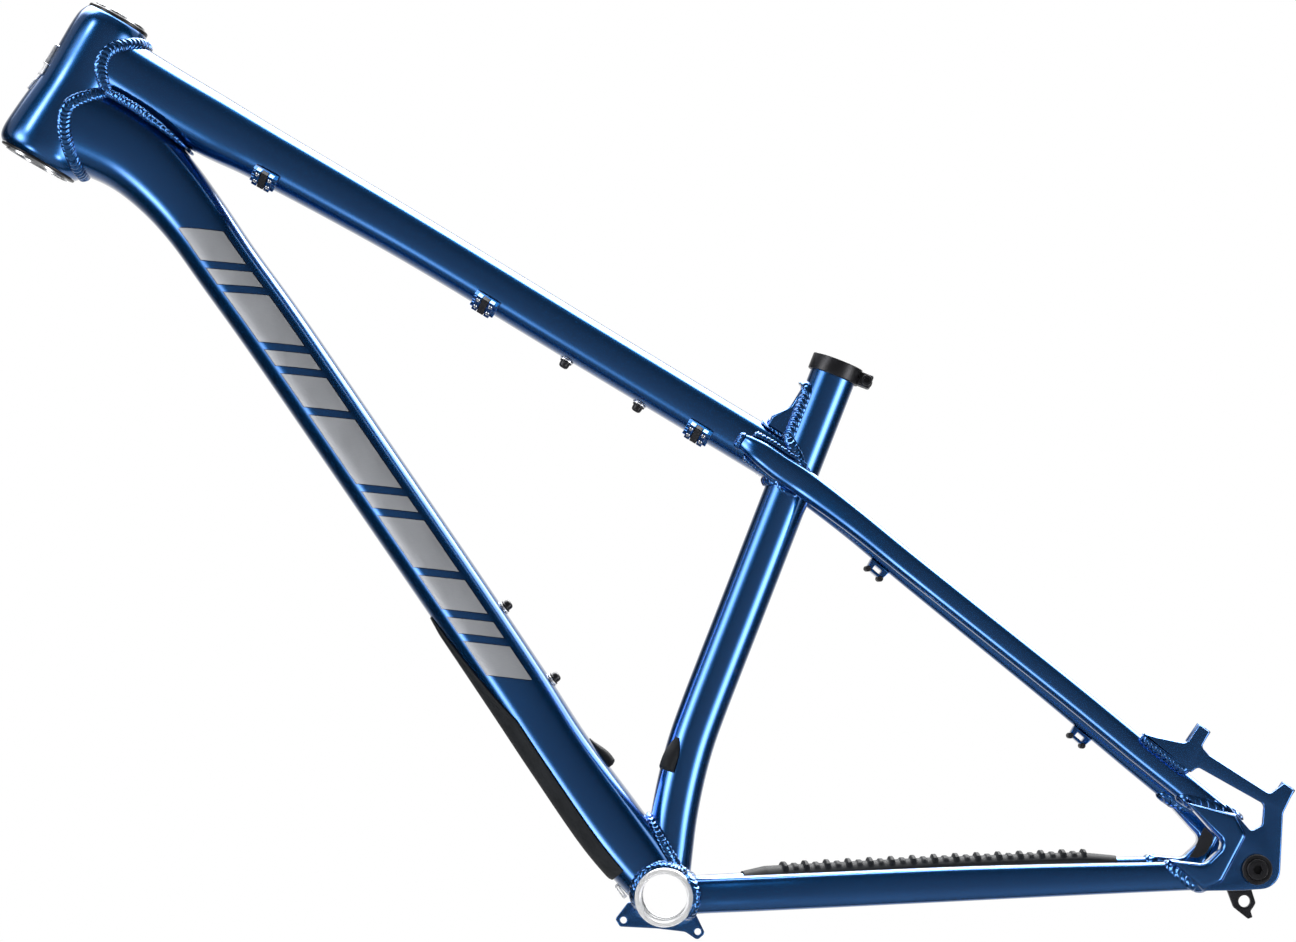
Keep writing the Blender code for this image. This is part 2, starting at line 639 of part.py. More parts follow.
def make_cable_guides():
    across = Matrix(((0, 0, 1, 0), (1, 0, 0, 0), (0, 1, 0, 0), (0, 0, 0, 1)))
    lift = Matrix.Translation((0.0, 0.0, GAP * 2))
    for number, x in enumerate(TOP_TUBE_GUIDES, 1):
        seat = TOP.seat(0, x, GUIDE_ANGLE) @ lift
        plate("top_tube_cable_guide_%d" % number, [guide_section(0.0130, 0.0046)], 0.0200,
              seat @ across, "blue")
        clip = [Vector((-0.0073, 0.0026)), Vector((-0.0068, 0.0026)), Vector((-0.0068, 0.0049)),
                Vector((0.0068, 0.0049)), Vector((0.0068, 0.0026)), Vector((0.0073, 0.0026)),
                Vector((0.0073, 0.0061)), Vector((-0.0073, 0.0061))]
        plate("top_tube_cable_clip_%d" % number, [clip], 0.0150, seat @ across, "black")
    stay = STAY["right"]
    for number, x in enumerate(SEATSTAY_GUIDES, 1):
        seat = stay.seat(0, x, -math.pi / 2) @ lift
        upright = Matrix.Rotation(math.pi / 2, 4, "X")
        rim = [Vector((-0.0085, 0.0)), Vector((0.0085, 0.0)), Vector((0.0070, 0.0080)),
               Vector((-0.0070, 0.0080))]
        window = [Vector((-0.0035, 0.0022)), Vector((0.0035, 0.0022)),
                  Vector((0.0035, 0.0058)), Vector((-0.0035, 0.0058))]
        plate("seatstay_cable_guide_%d" % number, [rim, window], 0.0075, seat @ upright, "blue")


def make_guards():
    bottom = -math.pi / 2

    def down_reach(part):
        half = math.radians(20.0 + 42.0 * min(part / 0.35, 1.0))
        return bottom - half, bottom + half

    band("down_tube_guard", DOWN, DOWN_GUARD_ENDS, down_reach,
         lambda part: 0.0016 + 0.0006 * math.sin(math.pi * part), "rubber", steps=10)

    def chain_reach(part):
        half = math.radians(72.0 - 12.0 * part)
        return math.pi / 2 - half, math.pi / 2 + half

    band("chainstay_guard", CHAIN["right"], CHAIN_GUARD_ENDS, chain_reach,
         lambda part: 0.0018 + 0.0026 * min(part / 0.1, (1.0 - part) / 0.1, 1.0), "rubber",
         steps=8)


def make_ports():
    nose = ((0.0000, 0.0006, 0.0002), (0.0090, 0.0048, 0.0080), (0.0200, 0.0066, 0.0040),
            (0.0255, 0.0060, 0.0015), (0.0260, 0.0006, 0.0002))
    upright = Matrix.Rotation(math.pi / 2, 4, "X")
    seat = DOWN.seat(0, -0.0840, math.pi / 2)
    plate("down_tube_port", [rounded(nose)], 0.0110, seat @ upright, "rubber")
    seat = SEAT.seat(2, 0.1160, math.radians(142.0))
    seat = seat @ Matrix.Rotation(math.pi, 4, "Z")
    plate("seat_tube_port", [rounded(nose)], 0.0110, seat @ upright, "rubber")
    bar = [Vector((-0.0060, 0.0)), Vector((0.0060, 0.0)), Vector((0.0060, 0.0030)),
           Vector((-0.0060, 0.0030))]
    slot = [Vector((-0.0038, 0.0009)), Vector((0.0038, 0.0009)), Vector((0.0038, 0.0020)),
            Vector((-0.0038, 0.0020))]
    seat = DOWN.seat(0, -0.0145, -math.pi / 2) @ Matrix.Translation((0.0, 0.0, 0.0007))
    plate("guide_tie_bracket", [bar, slot], 0.0080, seat @ upright, "silver")


def make_bosses(top, down):
    """Threaded inserts in the tube walls, and the bolts that close them."""
    rivnut = [(0.0056, 0.0010), (0.0056, GAP), (0.0042, GAP), (0.0042, -0.0110),
              (0.0028, -0.0110), (0.0028, 0.0010)]
    bolt = [(0.0, 0.0070), (0.0022, 0.0069), (0.0035, 0.0060), (0.0038, 0.0048),
            (0.0038, 0.0024), (0.0048, 0.0024), (0.0048, 0.0013), (0.0025, 0.0013),
            (0.0025, -0.0100), (0.0, -0.0100)]
    for label, tube, item, places, angle in (
            ("down_tube", DOWN, down, DOWN_TUBE_BOSSES, math.pi / 2),
            ("top_tube", TOP, top, TOP_TUBE_BOSSES, -math.pi / 2)):
        for number, x in enumerate(places, 1):
            seat = tube.seat(0, x, angle) @ Matrix.Translation((0.0, 0.0, GAP))
            turned("%s_rivnut_%d" % (label, number), rivnut, "silver", seat, steps=12)
            turned("%s_bottle_bolt_%d" % (label, number), bolt, "black", seat, steps=12)
            cut(item, cylinder("%s_boss_hole_%d" % (label, number), 0.0045, 0.012, seat))


def make_badge():
    """A plain curved plate on the front of the head tube."""
    rings = []
    half = math.radians(34.0)
    arc = [half * (2 * k / 10 - 1) for k in range(11)]
    for distance, thick in BADGE:
        radius = head_radius(distance) + 2 * GAP
        inner = [Vector((-radius * math.cos(a), radius * math.sin(a), -distance)) for a in arc]
        outer = [Vector((-(radius + thick) * math.cos(a), (radius + thick) * math.sin(a),
                         -distance)) for a in arc]
        rings.append(inner + outer[::-1])
    add_object("head_badge", loft("head_badge", rings, True), "silver", HEAD_MATRIX)


def head_radius(distance):
    for (low, first), (high, second) in zip(HEAD_PROFILE, HEAD_PROFILE[1:]):
        if low <= distance <= high:
            return first + (second - first) * (distance - low) / (high - low)
    raise ValueError("outside the head tube")


# ---- headset -----------------------------------------------------------------
def ball_ring(name, pitch, radius, count, height):
    """A cage with its balls, made one solid."""
    half = 0.0007
    cage = [(pitch + half, height + half), (pitch + half, height - half),
            (pitch - half, height - half), (pitch - half, height + half)]
    item = turned(name, cage, "steel", HEAD_MATRIX, steps=28)
    shape = bmesh.new()
    for k in range(count):
        angle = 2 * math.pi * k / count
        place = Matrix.Translation((pitch * math.cos(angle), pitch * math.sin(angle), height))
        bmesh.ops.create_uvsphere(shape, u_segments=6, v_segments=4, radius=radius, matrix=place)
    balls = add_object(name + "_set", mesh_from_bmesh(name + "_set", shape), None, HEAD_MATRIX)
    join(item, balls)


def bearing(label, outside, inside, low, high):
    """Two races with a row of balls between them; returns the inner race."""
    wall = 0.0014
    turned(label + "_bearing_outer_race",
           [(outside, high), (outside, low), (outside - wall, low), (outside - wall, high)],
           "steel", HEAD_MATRIX)
    turned(label + "_bearing_inner_race",
           [(inside + wall, high), (inside + wall, low), (inside, low), (inside, high)],
           "steel", HEAD_MATRIX)
    ball = (outside - inside) / 2 - wall - GAP
    pitch = (outside + inside) / 2
    ball_ring(label + "_bearing_balls", pitch, ball, BALL_COUNT, (low + high) / 2)


def make_headset():
    upper = [(0.0240, 0.0030), (0.0248, 0.0022), (0.0248, GAP), (0.0220, GAP),
             (0.0220, -0.0100), (0.0180, -0.0100), (0.0180, -0.0085), (0.0212, -0.0022),
             (0.0212, 0.0030)]
    turned("headset_upper_cup", upper, "black", HEAD_MATRIX, steps=ROUND_STEPS)
    bearing("upper", 0.0209, 0.0150, -0.0018, 0.0048)
    floor = -HEAD_LENGTH
    lower = [(0.0280, floor + 0.0110), (0.0280, floor - GAP), (0.0309, floor - GAP),
             (0.0309, floor - 0.0014), (0.0303, floor - 0.0020), (0.0263, floor - 0.0020),
             (0.0263, floor + 0.0040), (0.0228, floor + 0.0090), (0.0228, floor + 0.0110)]
    turned("headset_lower_cup", lower, "black", HEAD_MATRIX, steps=ROUND_STEPS)
    bearing("lower", 0.0260, 0.0200, floor - 0.0036, floor + 0.0034)


# ---- seat clamp and rear axle --------------------------------------------------
def make_seat_clamp():
    base = seat_axis(-0.0065)
    matrix = leaning(*base, SEAT_ANGLE)
    inner = SEAT_TUBE_RADIUS + GAP
    top = CLAMP_HEIGHT
    lip = top - 0.0050
    profile = [(CLAMP_RADIUS - 0.0006, top), (CLAMP_RADIUS, top - 0.0006),
               (CLAMP_RADIUS, 0.0006), (CLAMP_RADIUS - 0.0006, 0.0),
               (inner, 0.0), (inner, lip), (SEAT_TUBE_BORE, lip), (SEAT_TUBE_BORE, top)]
    collar = turned("seat_clamp_collar", profile, "black", matrix, steps=ROUND_STEPS)
    middle = top / 2
    ears = block("clamp_ears", (0.0112, 0.0150, top - 0.0016),
                 matrix @ Matrix.Translation((0.0234, 0.0, middle)), None)
    slit = block("clamp_slit", (0.0200, 0.0026, top * 2),
                 matrix @ Matrix.Translation((0.0245, 0.0, middle)), None)
    across = matrix @ Matrix.Translation((CLAMP_BOLT_BACK, 0.0, middle)) @ Matrix.Rotation(
        math.pi / 2, 4, "X")
    join(collar, ears)
    cut(collar, slit, cylinder("clamp_bolt_hole", 0.0030, 0.05, across))
    seat = 0.0075 + GAP
    bolt = [(0.0, seat + 0.0035), (0.0034, seat + 0.0035), (0.0040, seat + 0.0029),
            (0.0040, seat), (0.0025, seat), (0.0025, -0.0105), (0.0, -0.0105)]
    screw = turned("seat_clamp_bolt", bolt, "black", across, steps=20)
    cut(screw, hexagon("clamp_bolt_socket", 0.0020, 0.005, across, seat + 0.0035))
    nut = [(0.0048, -seat), (0.0048, -seat - 0.0025), (0.0028, -seat - 0.0025), (0.0028, -seat)]
    turned("seat_clamp_nut", nut, "black", across, steps=20)


def hexagon(name, half_flats, length, matrix, height):
    """A cutter for a hex socket, centred on a height of the piece's axis."""
    return cylinder(name, half_flats / math.cos(math.pi / 6), length,
                    matrix @ Matrix.Translation((0.0, 0.0, height)), sides=6)


def make_axle():
    face = HUB_HALF_WIDTH + PLATE_THICKNESS
    matrix = along_y(AXLE[0], 0.0, AXLE[1])
    washer = [(0.0104, face + 0.0035), (0.0110, face + 0.0029), (0.0110, face + GAP),
              (0.0063, face + GAP), (0.0063, face + 0.0012), (0.0079, face + 0.0012),
              (0.0079, face + 0.0035)]
    turned("axle_washer", washer, "black", matrix, steps=28)
    end = -(face + HANGER_THICKNESS + 0.0030)
    profile = [(0.0, face + 0.0055), (0.0068, face + 0.0055), (0.0076, face + 0.0047),
               (0.0076, face + 0.0015), (AXLE_RADIUS, face + 0.0015), (AXLE_RADIUS, end + 0.001),
               (AXLE_RADIUS - 0.001, end), (0.0, end)]
    axle = turned("rear_axle", profile, "black", matrix, steps=24)
    cut(axle, hexagon("axle_socket", 0.0030, 0.0100, matrix, face + 0.0055))


def main():
    cutters = make_cutters()
    top, down = make_main_tubes(cutters)
    make_stays(cutters)
    make_gusset(cutters)
    make_dropout("left")
    make_dropout("right")
    make_hanger()
    make_guide_plate()
    make_cable_guides()
    make_guards()
    make_ports()
    make_bosses(top, down)
    make_badge()
    make_headset()
    make_seat_clamp()
    make_axle()


main()
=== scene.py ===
"""Visual model of the welded mountain bike frame, in the CAD model's own frame.

Metres. +X points to the rear wheel, -Y to the rider's left, +Z up.
The origin is the centre of the bottom bracket.
"""

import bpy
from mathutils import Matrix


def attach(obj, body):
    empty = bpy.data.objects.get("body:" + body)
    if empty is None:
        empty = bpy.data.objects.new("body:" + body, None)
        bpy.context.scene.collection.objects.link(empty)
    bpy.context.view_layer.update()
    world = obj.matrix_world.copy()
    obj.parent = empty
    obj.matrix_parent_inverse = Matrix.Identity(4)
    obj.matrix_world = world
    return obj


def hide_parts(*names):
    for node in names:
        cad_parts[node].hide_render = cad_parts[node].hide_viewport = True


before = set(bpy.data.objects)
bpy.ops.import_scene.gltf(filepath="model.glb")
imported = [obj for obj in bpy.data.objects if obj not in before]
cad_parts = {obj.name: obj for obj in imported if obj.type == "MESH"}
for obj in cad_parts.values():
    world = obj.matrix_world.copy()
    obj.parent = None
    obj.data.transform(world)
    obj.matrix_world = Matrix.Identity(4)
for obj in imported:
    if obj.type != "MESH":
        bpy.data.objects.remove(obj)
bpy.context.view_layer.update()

import math
import random

import bmesh
import bpy
from mathutils import Matrix, Vector
from mathutils.bvhtree import BVHTree
from mathutils.geometry import intersect_ray_tri

RANDOM = random.Random(7)
UP = Vector((0.0, 0.0, 1.0))
QUARTER = math.pi / 2

# ---- dimensions shared with the CAD model ------------------------------------
REACH, STACK = 0.4662, 0.6260
HEAD_ANGLE = math.radians(65.4)
HEAD_LENGTH = 0.1214
SEAT_ANGLE = math.radians(73.0)
SEAT_TUBE_RADIUS = 0.01745
SEAT_TUBE_TOP = (0.0974, 0.4036)
SEAT_TUBE_BORE = 0.0155
BB_RADIUS = 0.02185
BB_BORE = 0.01715
BB_HALF_WIDTH = 0.0365
AXLE = (0.4272, 0.0560)
HUB_HALF_WIDTH = 0.074
PLATE_THICKNESS = 0.0070
AXLE_RADIUS = 0.0060
HEAD_PROFILE = (
    (0.0000, 0.0248), (0.0022, 0.0264), (0.0080, 0.0288), (0.0180, 0.0298),
    (0.0320, 0.0300), (0.0450, 0.0301), (0.0600, 0.0308), (0.0750, 0.0325),
    (0.0880, 0.0340), (0.0990, 0.0350), (0.1080, 0.0356), (0.1140, 0.0353),
    (0.1185, 0.0339), (HEAD_LENGTH, 0.0313))
HEAD_BORE = (
    (HEAD_LENGTH, 0.0283), (0.1064, 0.0283), (0.1040, 0.0270), (0.0700, 0.0250),
    (0.0140, 0.0235), (0.0120, 0.0223), (0.0000, 0.0223))
TOP_TUBE = (
    (-0.4795, 0.0, 0.5989, 0.0486, 0.0565), (-0.4263, 0.0, 0.5711, 0.0490, 0.0540),
    (-0.3838, 0.0, 0.5506, 0.0476, 0.0490), (-0.3481, 0.0, 0.5347, 0.0432, 0.0440),
    (-0.2811, 0.0, 0.5035, 0.0394, 0.0400), (-0.2127, 0.0, 0.4703, 0.0373, 0.0395),
    (-0.1022, 0.0, 0.4140, 0.0365, 0.0390), (0.0227, 0.0, 0.3508, 0.0358, 0.0380),
    (0.0718, 0.0, 0.3259, 0.0358, 0.0370))
DOWN_TUBE = (
    (-0.5060, 0.0, 0.5485, 0.0670, 0.0655), (-0.4717, 0.0, 0.5385, 0.0656, 0.0645),
    (-0.4439, 0.0, 0.5253, 0.0618, 0.0615), (-0.4172, 0.0, 0.5034, 0.0551, 0.0570),
    (-0.3924, 0.0, 0.4774, 0.0507, 0.0535), (-0.3640, 0.0, 0.4430, 0.0493, 0.0520),
    (-0.3232, 0.0, 0.3949, 0.0496, 0.0520), (-0.2450, 0.0, 0.2986, 0.0492, 0.0520),
    (-0.1728, 0.0, 0.2095, 0.0489, 0.0520), (-0.1204, 0.0, 0.1439, 0.0484, 0.0530),
    (-0.0853, 0.0, 0.0989, 0.0477, 0.0560), (-0.0432, 0.0, 0.0489, 0.0502, 0.0600),
    (-0.0140, 0.0, 0.0170, 0.0460, 0.0600), (0.0000, 0.0, 0.0000, 0.0380, 0.0580))
SEAT_TUBE_LOW = (
    (0.0000, 0.0, 0.0000), (0.0008, 0.0, 0.0300), (0.0022, 0.0, 0.0600),
    (0.0058, 0.0, 0.0900), (0.0110, 0.0, 0.1170), (0.0181, 0.0, 0.1430),
    (0.0268, 0.0, 0.1720), (0.0430, 0.0, 0.2250))
CHAINSTAY = (
    (0.0050, 0.0235, 0.0005, 0.0268, 0.0200), (0.0300, 0.0262, 0.0038, 0.0268, 0.0205),
    (0.0700, 0.0345, 0.0089, 0.0267, 0.0200), (0.1200, 0.0435, 0.0155, 0.0263, 0.0190),
    (0.2150, 0.0540, 0.0278, 0.0254, 0.0180), (0.3000, 0.0630, 0.0382, 0.0234, 0.0175),
    (0.3650, 0.0695, 0.0456, 0.0213, 0.0170), (0.4100, 0.0735, 0.0508, 0.0206, 0.0165))
SEATSTAY = (
    (0.0320, 0.0190, 0.3428, 0.0110, 0.0060), (0.0390, 0.0208, 0.3385, 0.0152, 0.0105),
    (0.0480, 0.0218, 0.3330, 0.0182, 0.0130), (0.0620, 0.0222, 0.3242, 0.0200, 0.0142),
    (0.0840, 0.0240, 0.3115, 0.0208, 0.0145), (0.1220, 0.0335, 0.2864, 0.0193, 0.0145),
    (0.1700, 0.0435, 0.2524, 0.0187, 0.0145), (0.2780, 0.0565, 0.1779, 0.0187, 0.0145),
    (0.3360, 0.0635, 0.1367, 0.0188, 0.0150), (0.3720, 0.0680, 0.1115, 0.0188, 0.0155),
    (0.4200, 0.0725, 0.0774, 0.0188, 0.0155))
STAY_CUT_LOW = ((0.3640, 0.0578), (0.3892, 0.0375))
STAY_CUT_HIGH = ((0.3725, 0.1010), (0.4095, 0.0948))


# ---- material nodes ------------------------------------------------------------
class Graph:
    """Short calls for filling one node tree."""

    def __init__(self, tree):
        self.tree = tree

    def add(self, kind, inputs=(), **settings):
        node = self.tree.nodes.new(kind)
        for key, value in settings.items():
            setattr(node, key, value)
        for key, value in dict(inputs).items():
            self.feed(node.inputs[key], value)
        return node

    def feed(self, socket, value):
        if isinstance(value, bpy.types.NodeSocket):
            self.tree.links.new(value, socket)
        else:
            socket.default_value = value

    def math(self, operation, *values):
        return self.add("ShaderNodeMath", dict(enumerate(values)), operation=operation).outputs[0]


class Nodes(Graph):
    """Short calls for building one material."""

    def __init__(self, name):
        self.material = bpy.data.materials.new(name)
        self.material.use_nodes = True
        super().__init__(self.material.node_tree)
        self.shader = self.tree.nodes["Principled BSDF"]

    def set(self, **values):
        for key, value in values.items():
            self.feed(self.shader.inputs[key.replace("_", " ")], value)

    def place(self, stretch=(1.0, 1.0, 1.0)):
        coordinates = self.add("ShaderNodeTexCoord")
        mapping = self.add("ShaderNodeMapping", {
            "Vector": coordinates.outputs["Object"], "Scale": stretch})
        return mapping.outputs["Vector"]

    def noise(self, scale, detail=2.0, stretch=(1.0, 1.0, 1.0), roughness=0.5):
        node = self.add("ShaderNodeTexNoise", {
            "Vector": self.place(stretch), "Scale": scale, "Detail": detail,
            "Roughness": roughness})
        return node.outputs["Fac"]

    def ramp(self, factor, low, high, start, end):
        """Maps a factor from start..end to low..high."""
        node = self.add("ShaderNodeMapRange", {
            "Value": factor, "From Min": start, "From Max": end, "To Min": low, "To Max": high})
        return node.outputs["Result"]

    def blend(self, factor, first, second):
        node = self.add("ShaderNodeMix", {0: factor, 6: (*first, 1.0), 7: (*second, 1.0)},
                        data_type="RGBA")
        return node.outputs[2]

    def bump(self, height, strength, distance):
        node = self.add("ShaderNodeBump", {
            "Height": height, "Strength": strength, "Distance": distance})
        self.feed(self.shader.inputs["Normal"], node.outputs["Normal"])


def scaled(colour, factor, lift=0.0):
    return tuple(min(1.0, part * factor + lift) for part in colour)


def candy_blue(name, bright, dark, rough):
    """Fine metallic flake under a clear coat, with a slight orange peel."""
    nodes = Nodes(name)
    flake = nodes.add("ShaderNodeTexVoronoi", {"Vector": nodes.place(), "Scale": 7000.0})
    sparkle = nodes.add("ShaderNodeSeparateColor", {"Color": flake.outputs["Color"]}).outputs
    cloud = nodes.ramp(nodes.noise(9.0), -0.15, 0.15, 0.3, 0.7)
    mixed = nodes.math("ADD", nodes.ramp(sparkle[0], 0.3, 0.7, 0.0, 1.0), cloud)
    nodes.set(Base_Color=nodes.blend(mixed, dark, bright), Metallic=0.95,
              Roughness=nodes.ramp(sparkle[1], rough - 0.02, rough + 0.03, 0.0, 1.0),
              Coat_Weight=1.0, Coat_Roughness=0.02, Coat_IOR=1.5)
    nodes.bump(nodes.noise(300.0, 1.0), 0.03, 0.0004)
    return nodes.material


def machined(name, colour, rough, turning=(1.0, 900.0, 1.0), metal=1.0):
    """Metal with fine lines one way and a few smudges."""
    nodes = Nodes(name)
    lines = nodes.noise(3.0, 4.0, turning, 0.7)
    nodes.set(Base_Color=nodes.blend(lines, scaled(colour, 0.86), scaled(colour, 1.12)),
              Metallic=metal,
              Roughness=nodes.ramp(nodes.noise(60.0, 3.0), rough - 0.06, rough + 0.08, 0.3, 0.7))
    nodes.bump(lines, 0.15, 0.0002)
    return nodes.material


def grained(name, colour, worn, rough, grain, wear, bump, **settings):
    """A fine grain, with paler worn or dusty patches."""
    nodes = Nodes(name)
    fine = nodes.noise(*grain)
    patches = nodes.ramp(nodes.noise(*wear[:2]), 0.0, 1.0, wear[2], 0.75)
    nodes.set(Base_Color=nodes.blend(patches, colour, worn),
              Roughness=nodes.ramp(fine, *rough, 0.3, 0.7), **settings)
    nodes.bump(fine, *bump)
    return nodes.material


def anodised(name, colour, rough):
    return grained(name, colour, scaled(colour, 1.9), (rough - 0.05, rough + 0.08),
                   (1800.0, 2.0), (90.0, 4.0, 0.45), (0.06, 0.0002), Metallic=0.55,
                   Specular_IOR_Level=0.5)


def moulded(name, colour, rough, grain_scale, specular):
    """Rubber or nylon."""
    return grained(name, colour, scaled(colour, 1.35, 0.001), (rough - 0.08, rough + 0.1),
                   (grain_scale, 3.0), (45.0, 5.0, 0.35), (0.22, 0.0004),
                   Specular_IOR_Level=specular)


BLUE = candy_blue("candy_blue_paint", (0.007, 0.104, 0.335), (0.005, 0.076, 0.250), 0.22)
# The weld paint is the frame paint with a slightly brighter base: a painted highlight that
# strengthens the glints on the ripples.
WELD_BLUE_PAINTED_GLINT = candy_blue("candy_blue_weld_painted_glint", (0.008, 0.106, 0.340), (0.006, 0.078, 0.255), 0.20)
BARE = machined("machined_aluminium", (0.92, 0.93, 0.95), 0.30, metal=0.75)
FOIL = machined("brushed_silver_foil", (0.29, 0.30, 0.32), 0.42, (60.0, 1.0, 1400.0), 0.60)
BLACK = anodised("black_anodised", (0.010, 0.010, 0.012), 0.32)
STEEL = machined("ground_steel", (0.55, 0.56, 0.58), 0.22)
RUBBER = moulded("grey_rubber", (0.0060, 0.0070, 0.0085), 0.58, 1400.0, 0.12)
NYLON = moulded("black_nylon", (0.007, 0.007, 0.008), 0.40, 900.0, 0.30)
DARK = candy_blue("decal_outline", (0.004, 0.020, 0.070), (0.002, 0.010, 0.035), 0.25)


def linked(name, data):
    item = bpy.data.objects.new(name, data)
    bpy.context.scene.collection.objects.link(item)
    return item


def discard(item):
    bpy.data.objects.remove(item, do_unlink=True)


def evaluated(item):
    """A new mesh with the object's modifiers applied."""
    return bpy.data.meshes.new_from_object(
        item.evaluated_get(bpy.context.evaluated_depsgraph_get()))


def moved(x=0.0, y=0.0, z=0.0):
    return Matrix.Translation((x, y, z))


def add_piece(name, mesh, material, node=None, body="frame", bevel=0.0):
    """Links a piece, gives it its finish, its body and the CAD node it stands for."""
    item = linked(name, mesh)
    mesh.materials.append(material)
    if bevel:
        edge = item.modifiers.new("edge", "BEVEL")
        edge.width = bevel
        edge.segments = 2
        edge.limit_method = "ANGLE"
        edge.angle_limit = math.radians(35.0)
        edge.harden_normals = True
    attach(item, body)
    if node:
        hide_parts(node)
    return item


def shade(mesh, smooth_angle=35.0):
    mesh.shade_smooth()
    mesh.set_sharp_from_angle(angle=math.radians(smooth_angle))
    return mesh


def finished(name, shape, smooth_angle=35.0, recalculate=True):
    if recalculate:
        bmesh.ops.recalc_face_normals(shape, faces=shape.faces)
    mesh = bpy.data.meshes.new(name)
    shape.to_mesh(mesh)
    shape.free()
    return shade(mesh, smooth_angle)


def polar(radius, angle):
    return radius * math.cos(angle), radius * math.sin(angle)


def even_steps(points, spacing, fewest, with_end=True):
    """Even steps along a line, each as the number of a segment and the part of it."""
    lengths = [0.0]
    for a, b in zip(points, points[1:]):
        lengths.append(lengths[-1] + (b - a).length)
    steps = max(fewest, int(lengths[-1] / spacing))
    k = 0
    for step in range(steps + 1 if with_end else steps):
        target = lengths[-1] * step / steps
        while k < len(points) - 2 and lengths[k + 1] < target:
            k += 1
        yield k, (target - lengths[k]) / max(lengths[k + 1] - lengths[k], 1e-9)


def catmull(before, start, end, after, t):
    values = []
    for a, b, c, d in zip(before, start, end, after):
        values.append(0.5 * (2 * b + (c - a) * t + (2 * a - 5 * b + 4 * c - d) * t * t
                             + (3 * b - a - 3 * c + d) * t ** 3))
    return values


class Tube:
    """A tube through its stations, with a section that changes on the way."""

    def __init__(self, stations, side=1.0, power=2.5):
        self.stations = [(x, y * side, z, depth, width) for x, y, z, depth, width in stations]
        self.power = power
        self.last = len(stations) - 1

    def row(self, place):
        index = min(max(int(place), 0), self.last - 1)
        pick = [self.stations[min(max(index + k, 0), self.last)] for k in (-1, 0, 1, 2)]
        return catmull(*pick, place - index)

    def frame(self, place):
        step = 0.02
        ahead = self.row(min(place + step, self.last))
        behind = self.row(max(place - step, 0.0))
        along = (Vector(ahead[:3]) - Vector(behind[:3])).normalized()
        across = along.cross(UP).normalized()
        if across.y < 0:
            across.negate()
        up = across.cross(along).normalized()
        if up.z < -0.01:
            up.negate()
        return along, across, up

    def point(self, place, angle, offset=0.0):
        """A point of the surface; angle 0 is +Y and a quarter turn is up."""
        x, y, z, depth, width = self.row(place)
        _, across, up = self.frame(place)
        cosine, sine = math.cos(angle), math.sin(angle)
        side = math.copysign(abs(cosine) ** (2 / self.power), cosine) * (width / 2 + offset)
        rise = math.copysign(abs(sine) ** (2 / self.power), sine) * (depth / 2 + offset)
        return Vector((x, y, z)) + across * side + up * rise

    def at(self, axis, value):
        """The place where the centre line's x or z has a value."""
        low, high = 0.0, float(self.last)
        rising = self.row(high)[axis] > self.row(low)[axis]
        for _ in range(40):
            middle = (low + high) / 2
            if (self.row(middle)[axis] < value) == rising:
                low = middle
            else:
                high = middle
        return low

    def places(self, spacing, first=0.0, last=None):
        """Places spaced by arc length."""
        last = self.last if last is None else last
        fine = [first + (last - first) * k / 400 for k in range(401)]
        points = [Vector(self.row(place)[:3]) for place in fine]
        return [fine[k] + (fine[k + 1] - fine[k]) * part
                for k, part in even_steps(points, spacing, 2)]

    def ring(self, place, sides, shift=0.0, offset=0.0):
        return [self.point(place, 2 * math.pi * (k + shift) / sides, offset) for k in range(sides)]

    def solid(self, sides, spacing):
        """Vertices and faces of the closed outer surface."""
        return grid([self.ring(place, sides, 0.5) for place in self.places(spacing)])

    def seat(self, axis, value, angle):
        """A frame on the surface: local Z out of the tube, local X along it."""
        place = self.at(axis, value)
        along, across, up = self.frame(place)
        out = (across * math.cos(angle) + up * math.sin(angle)).normalized()
        matrix = Matrix((along, out.cross(along), out)).transposed().to_4x4()
        matrix.translation = self.point(place, angle)
        return matrix


def grid(rows, cyclic=False, rings=True):
    """Vertices and faces between equal rows, with the ends capped unless they join up."""
    count = len(rows[0])
    points = [point for row in rows for point in row]
    faces = []
    for i in range(len(rows) if cyclic else len(rows) - 1):
        j = (i + 1) % len(rows)
        for k in range(count if rings else count - 1):
            n = (k + 1) % count
            faces.append((i * count + k, i * count + n, j * count + n, j * count + k))
    if not cyclic:
        faces.append(tuple(range(count)))
        start = (len(rows) - 1) * count
        faces.append(tuple(reversed(range(start, start + count))))
    return points, faces


def lathe_solid(profile, matrix, steps):
    """Vertices and faces of a profile of (radius, height) turned about local Z.

    A profile that starts on the axis is a line from axis to axis; any other is a closed loop.
    """
    rows = [[matrix @ Vector((*polar(radius, 2 * math.pi * k / steps), height))
             for radius, height in profile] for k in range(steps)]
    return grid(rows, True, profile[0][0] != 0.0)


def bmesh_of(solid):
    shape = bmesh.new()
    points, faces = solid
    made = [shape.verts.new(point) for point in points]
    for face in faces:
        shape.faces.new([made[k] for k in face])
    return shape


def mesh_of(name, solid, smooth_angle=35.0):
    shape = bmesh_of(solid)
    bmesh.ops.remove_doubles(shape, verts=shape.verts, dist=0.000002)
    bmesh.ops.dissolve_degenerate(shape, edges=shape.edges, dist=0.000001)
    return finished(name, shape, smooth_angle)


def shaped(name, solid, material, node=None, body="frame", smooth_angle=35.0, bevel=0.0):
    return add_piece(name, mesh_of(name, solid, smooth_angle), material, node, body, bevel)


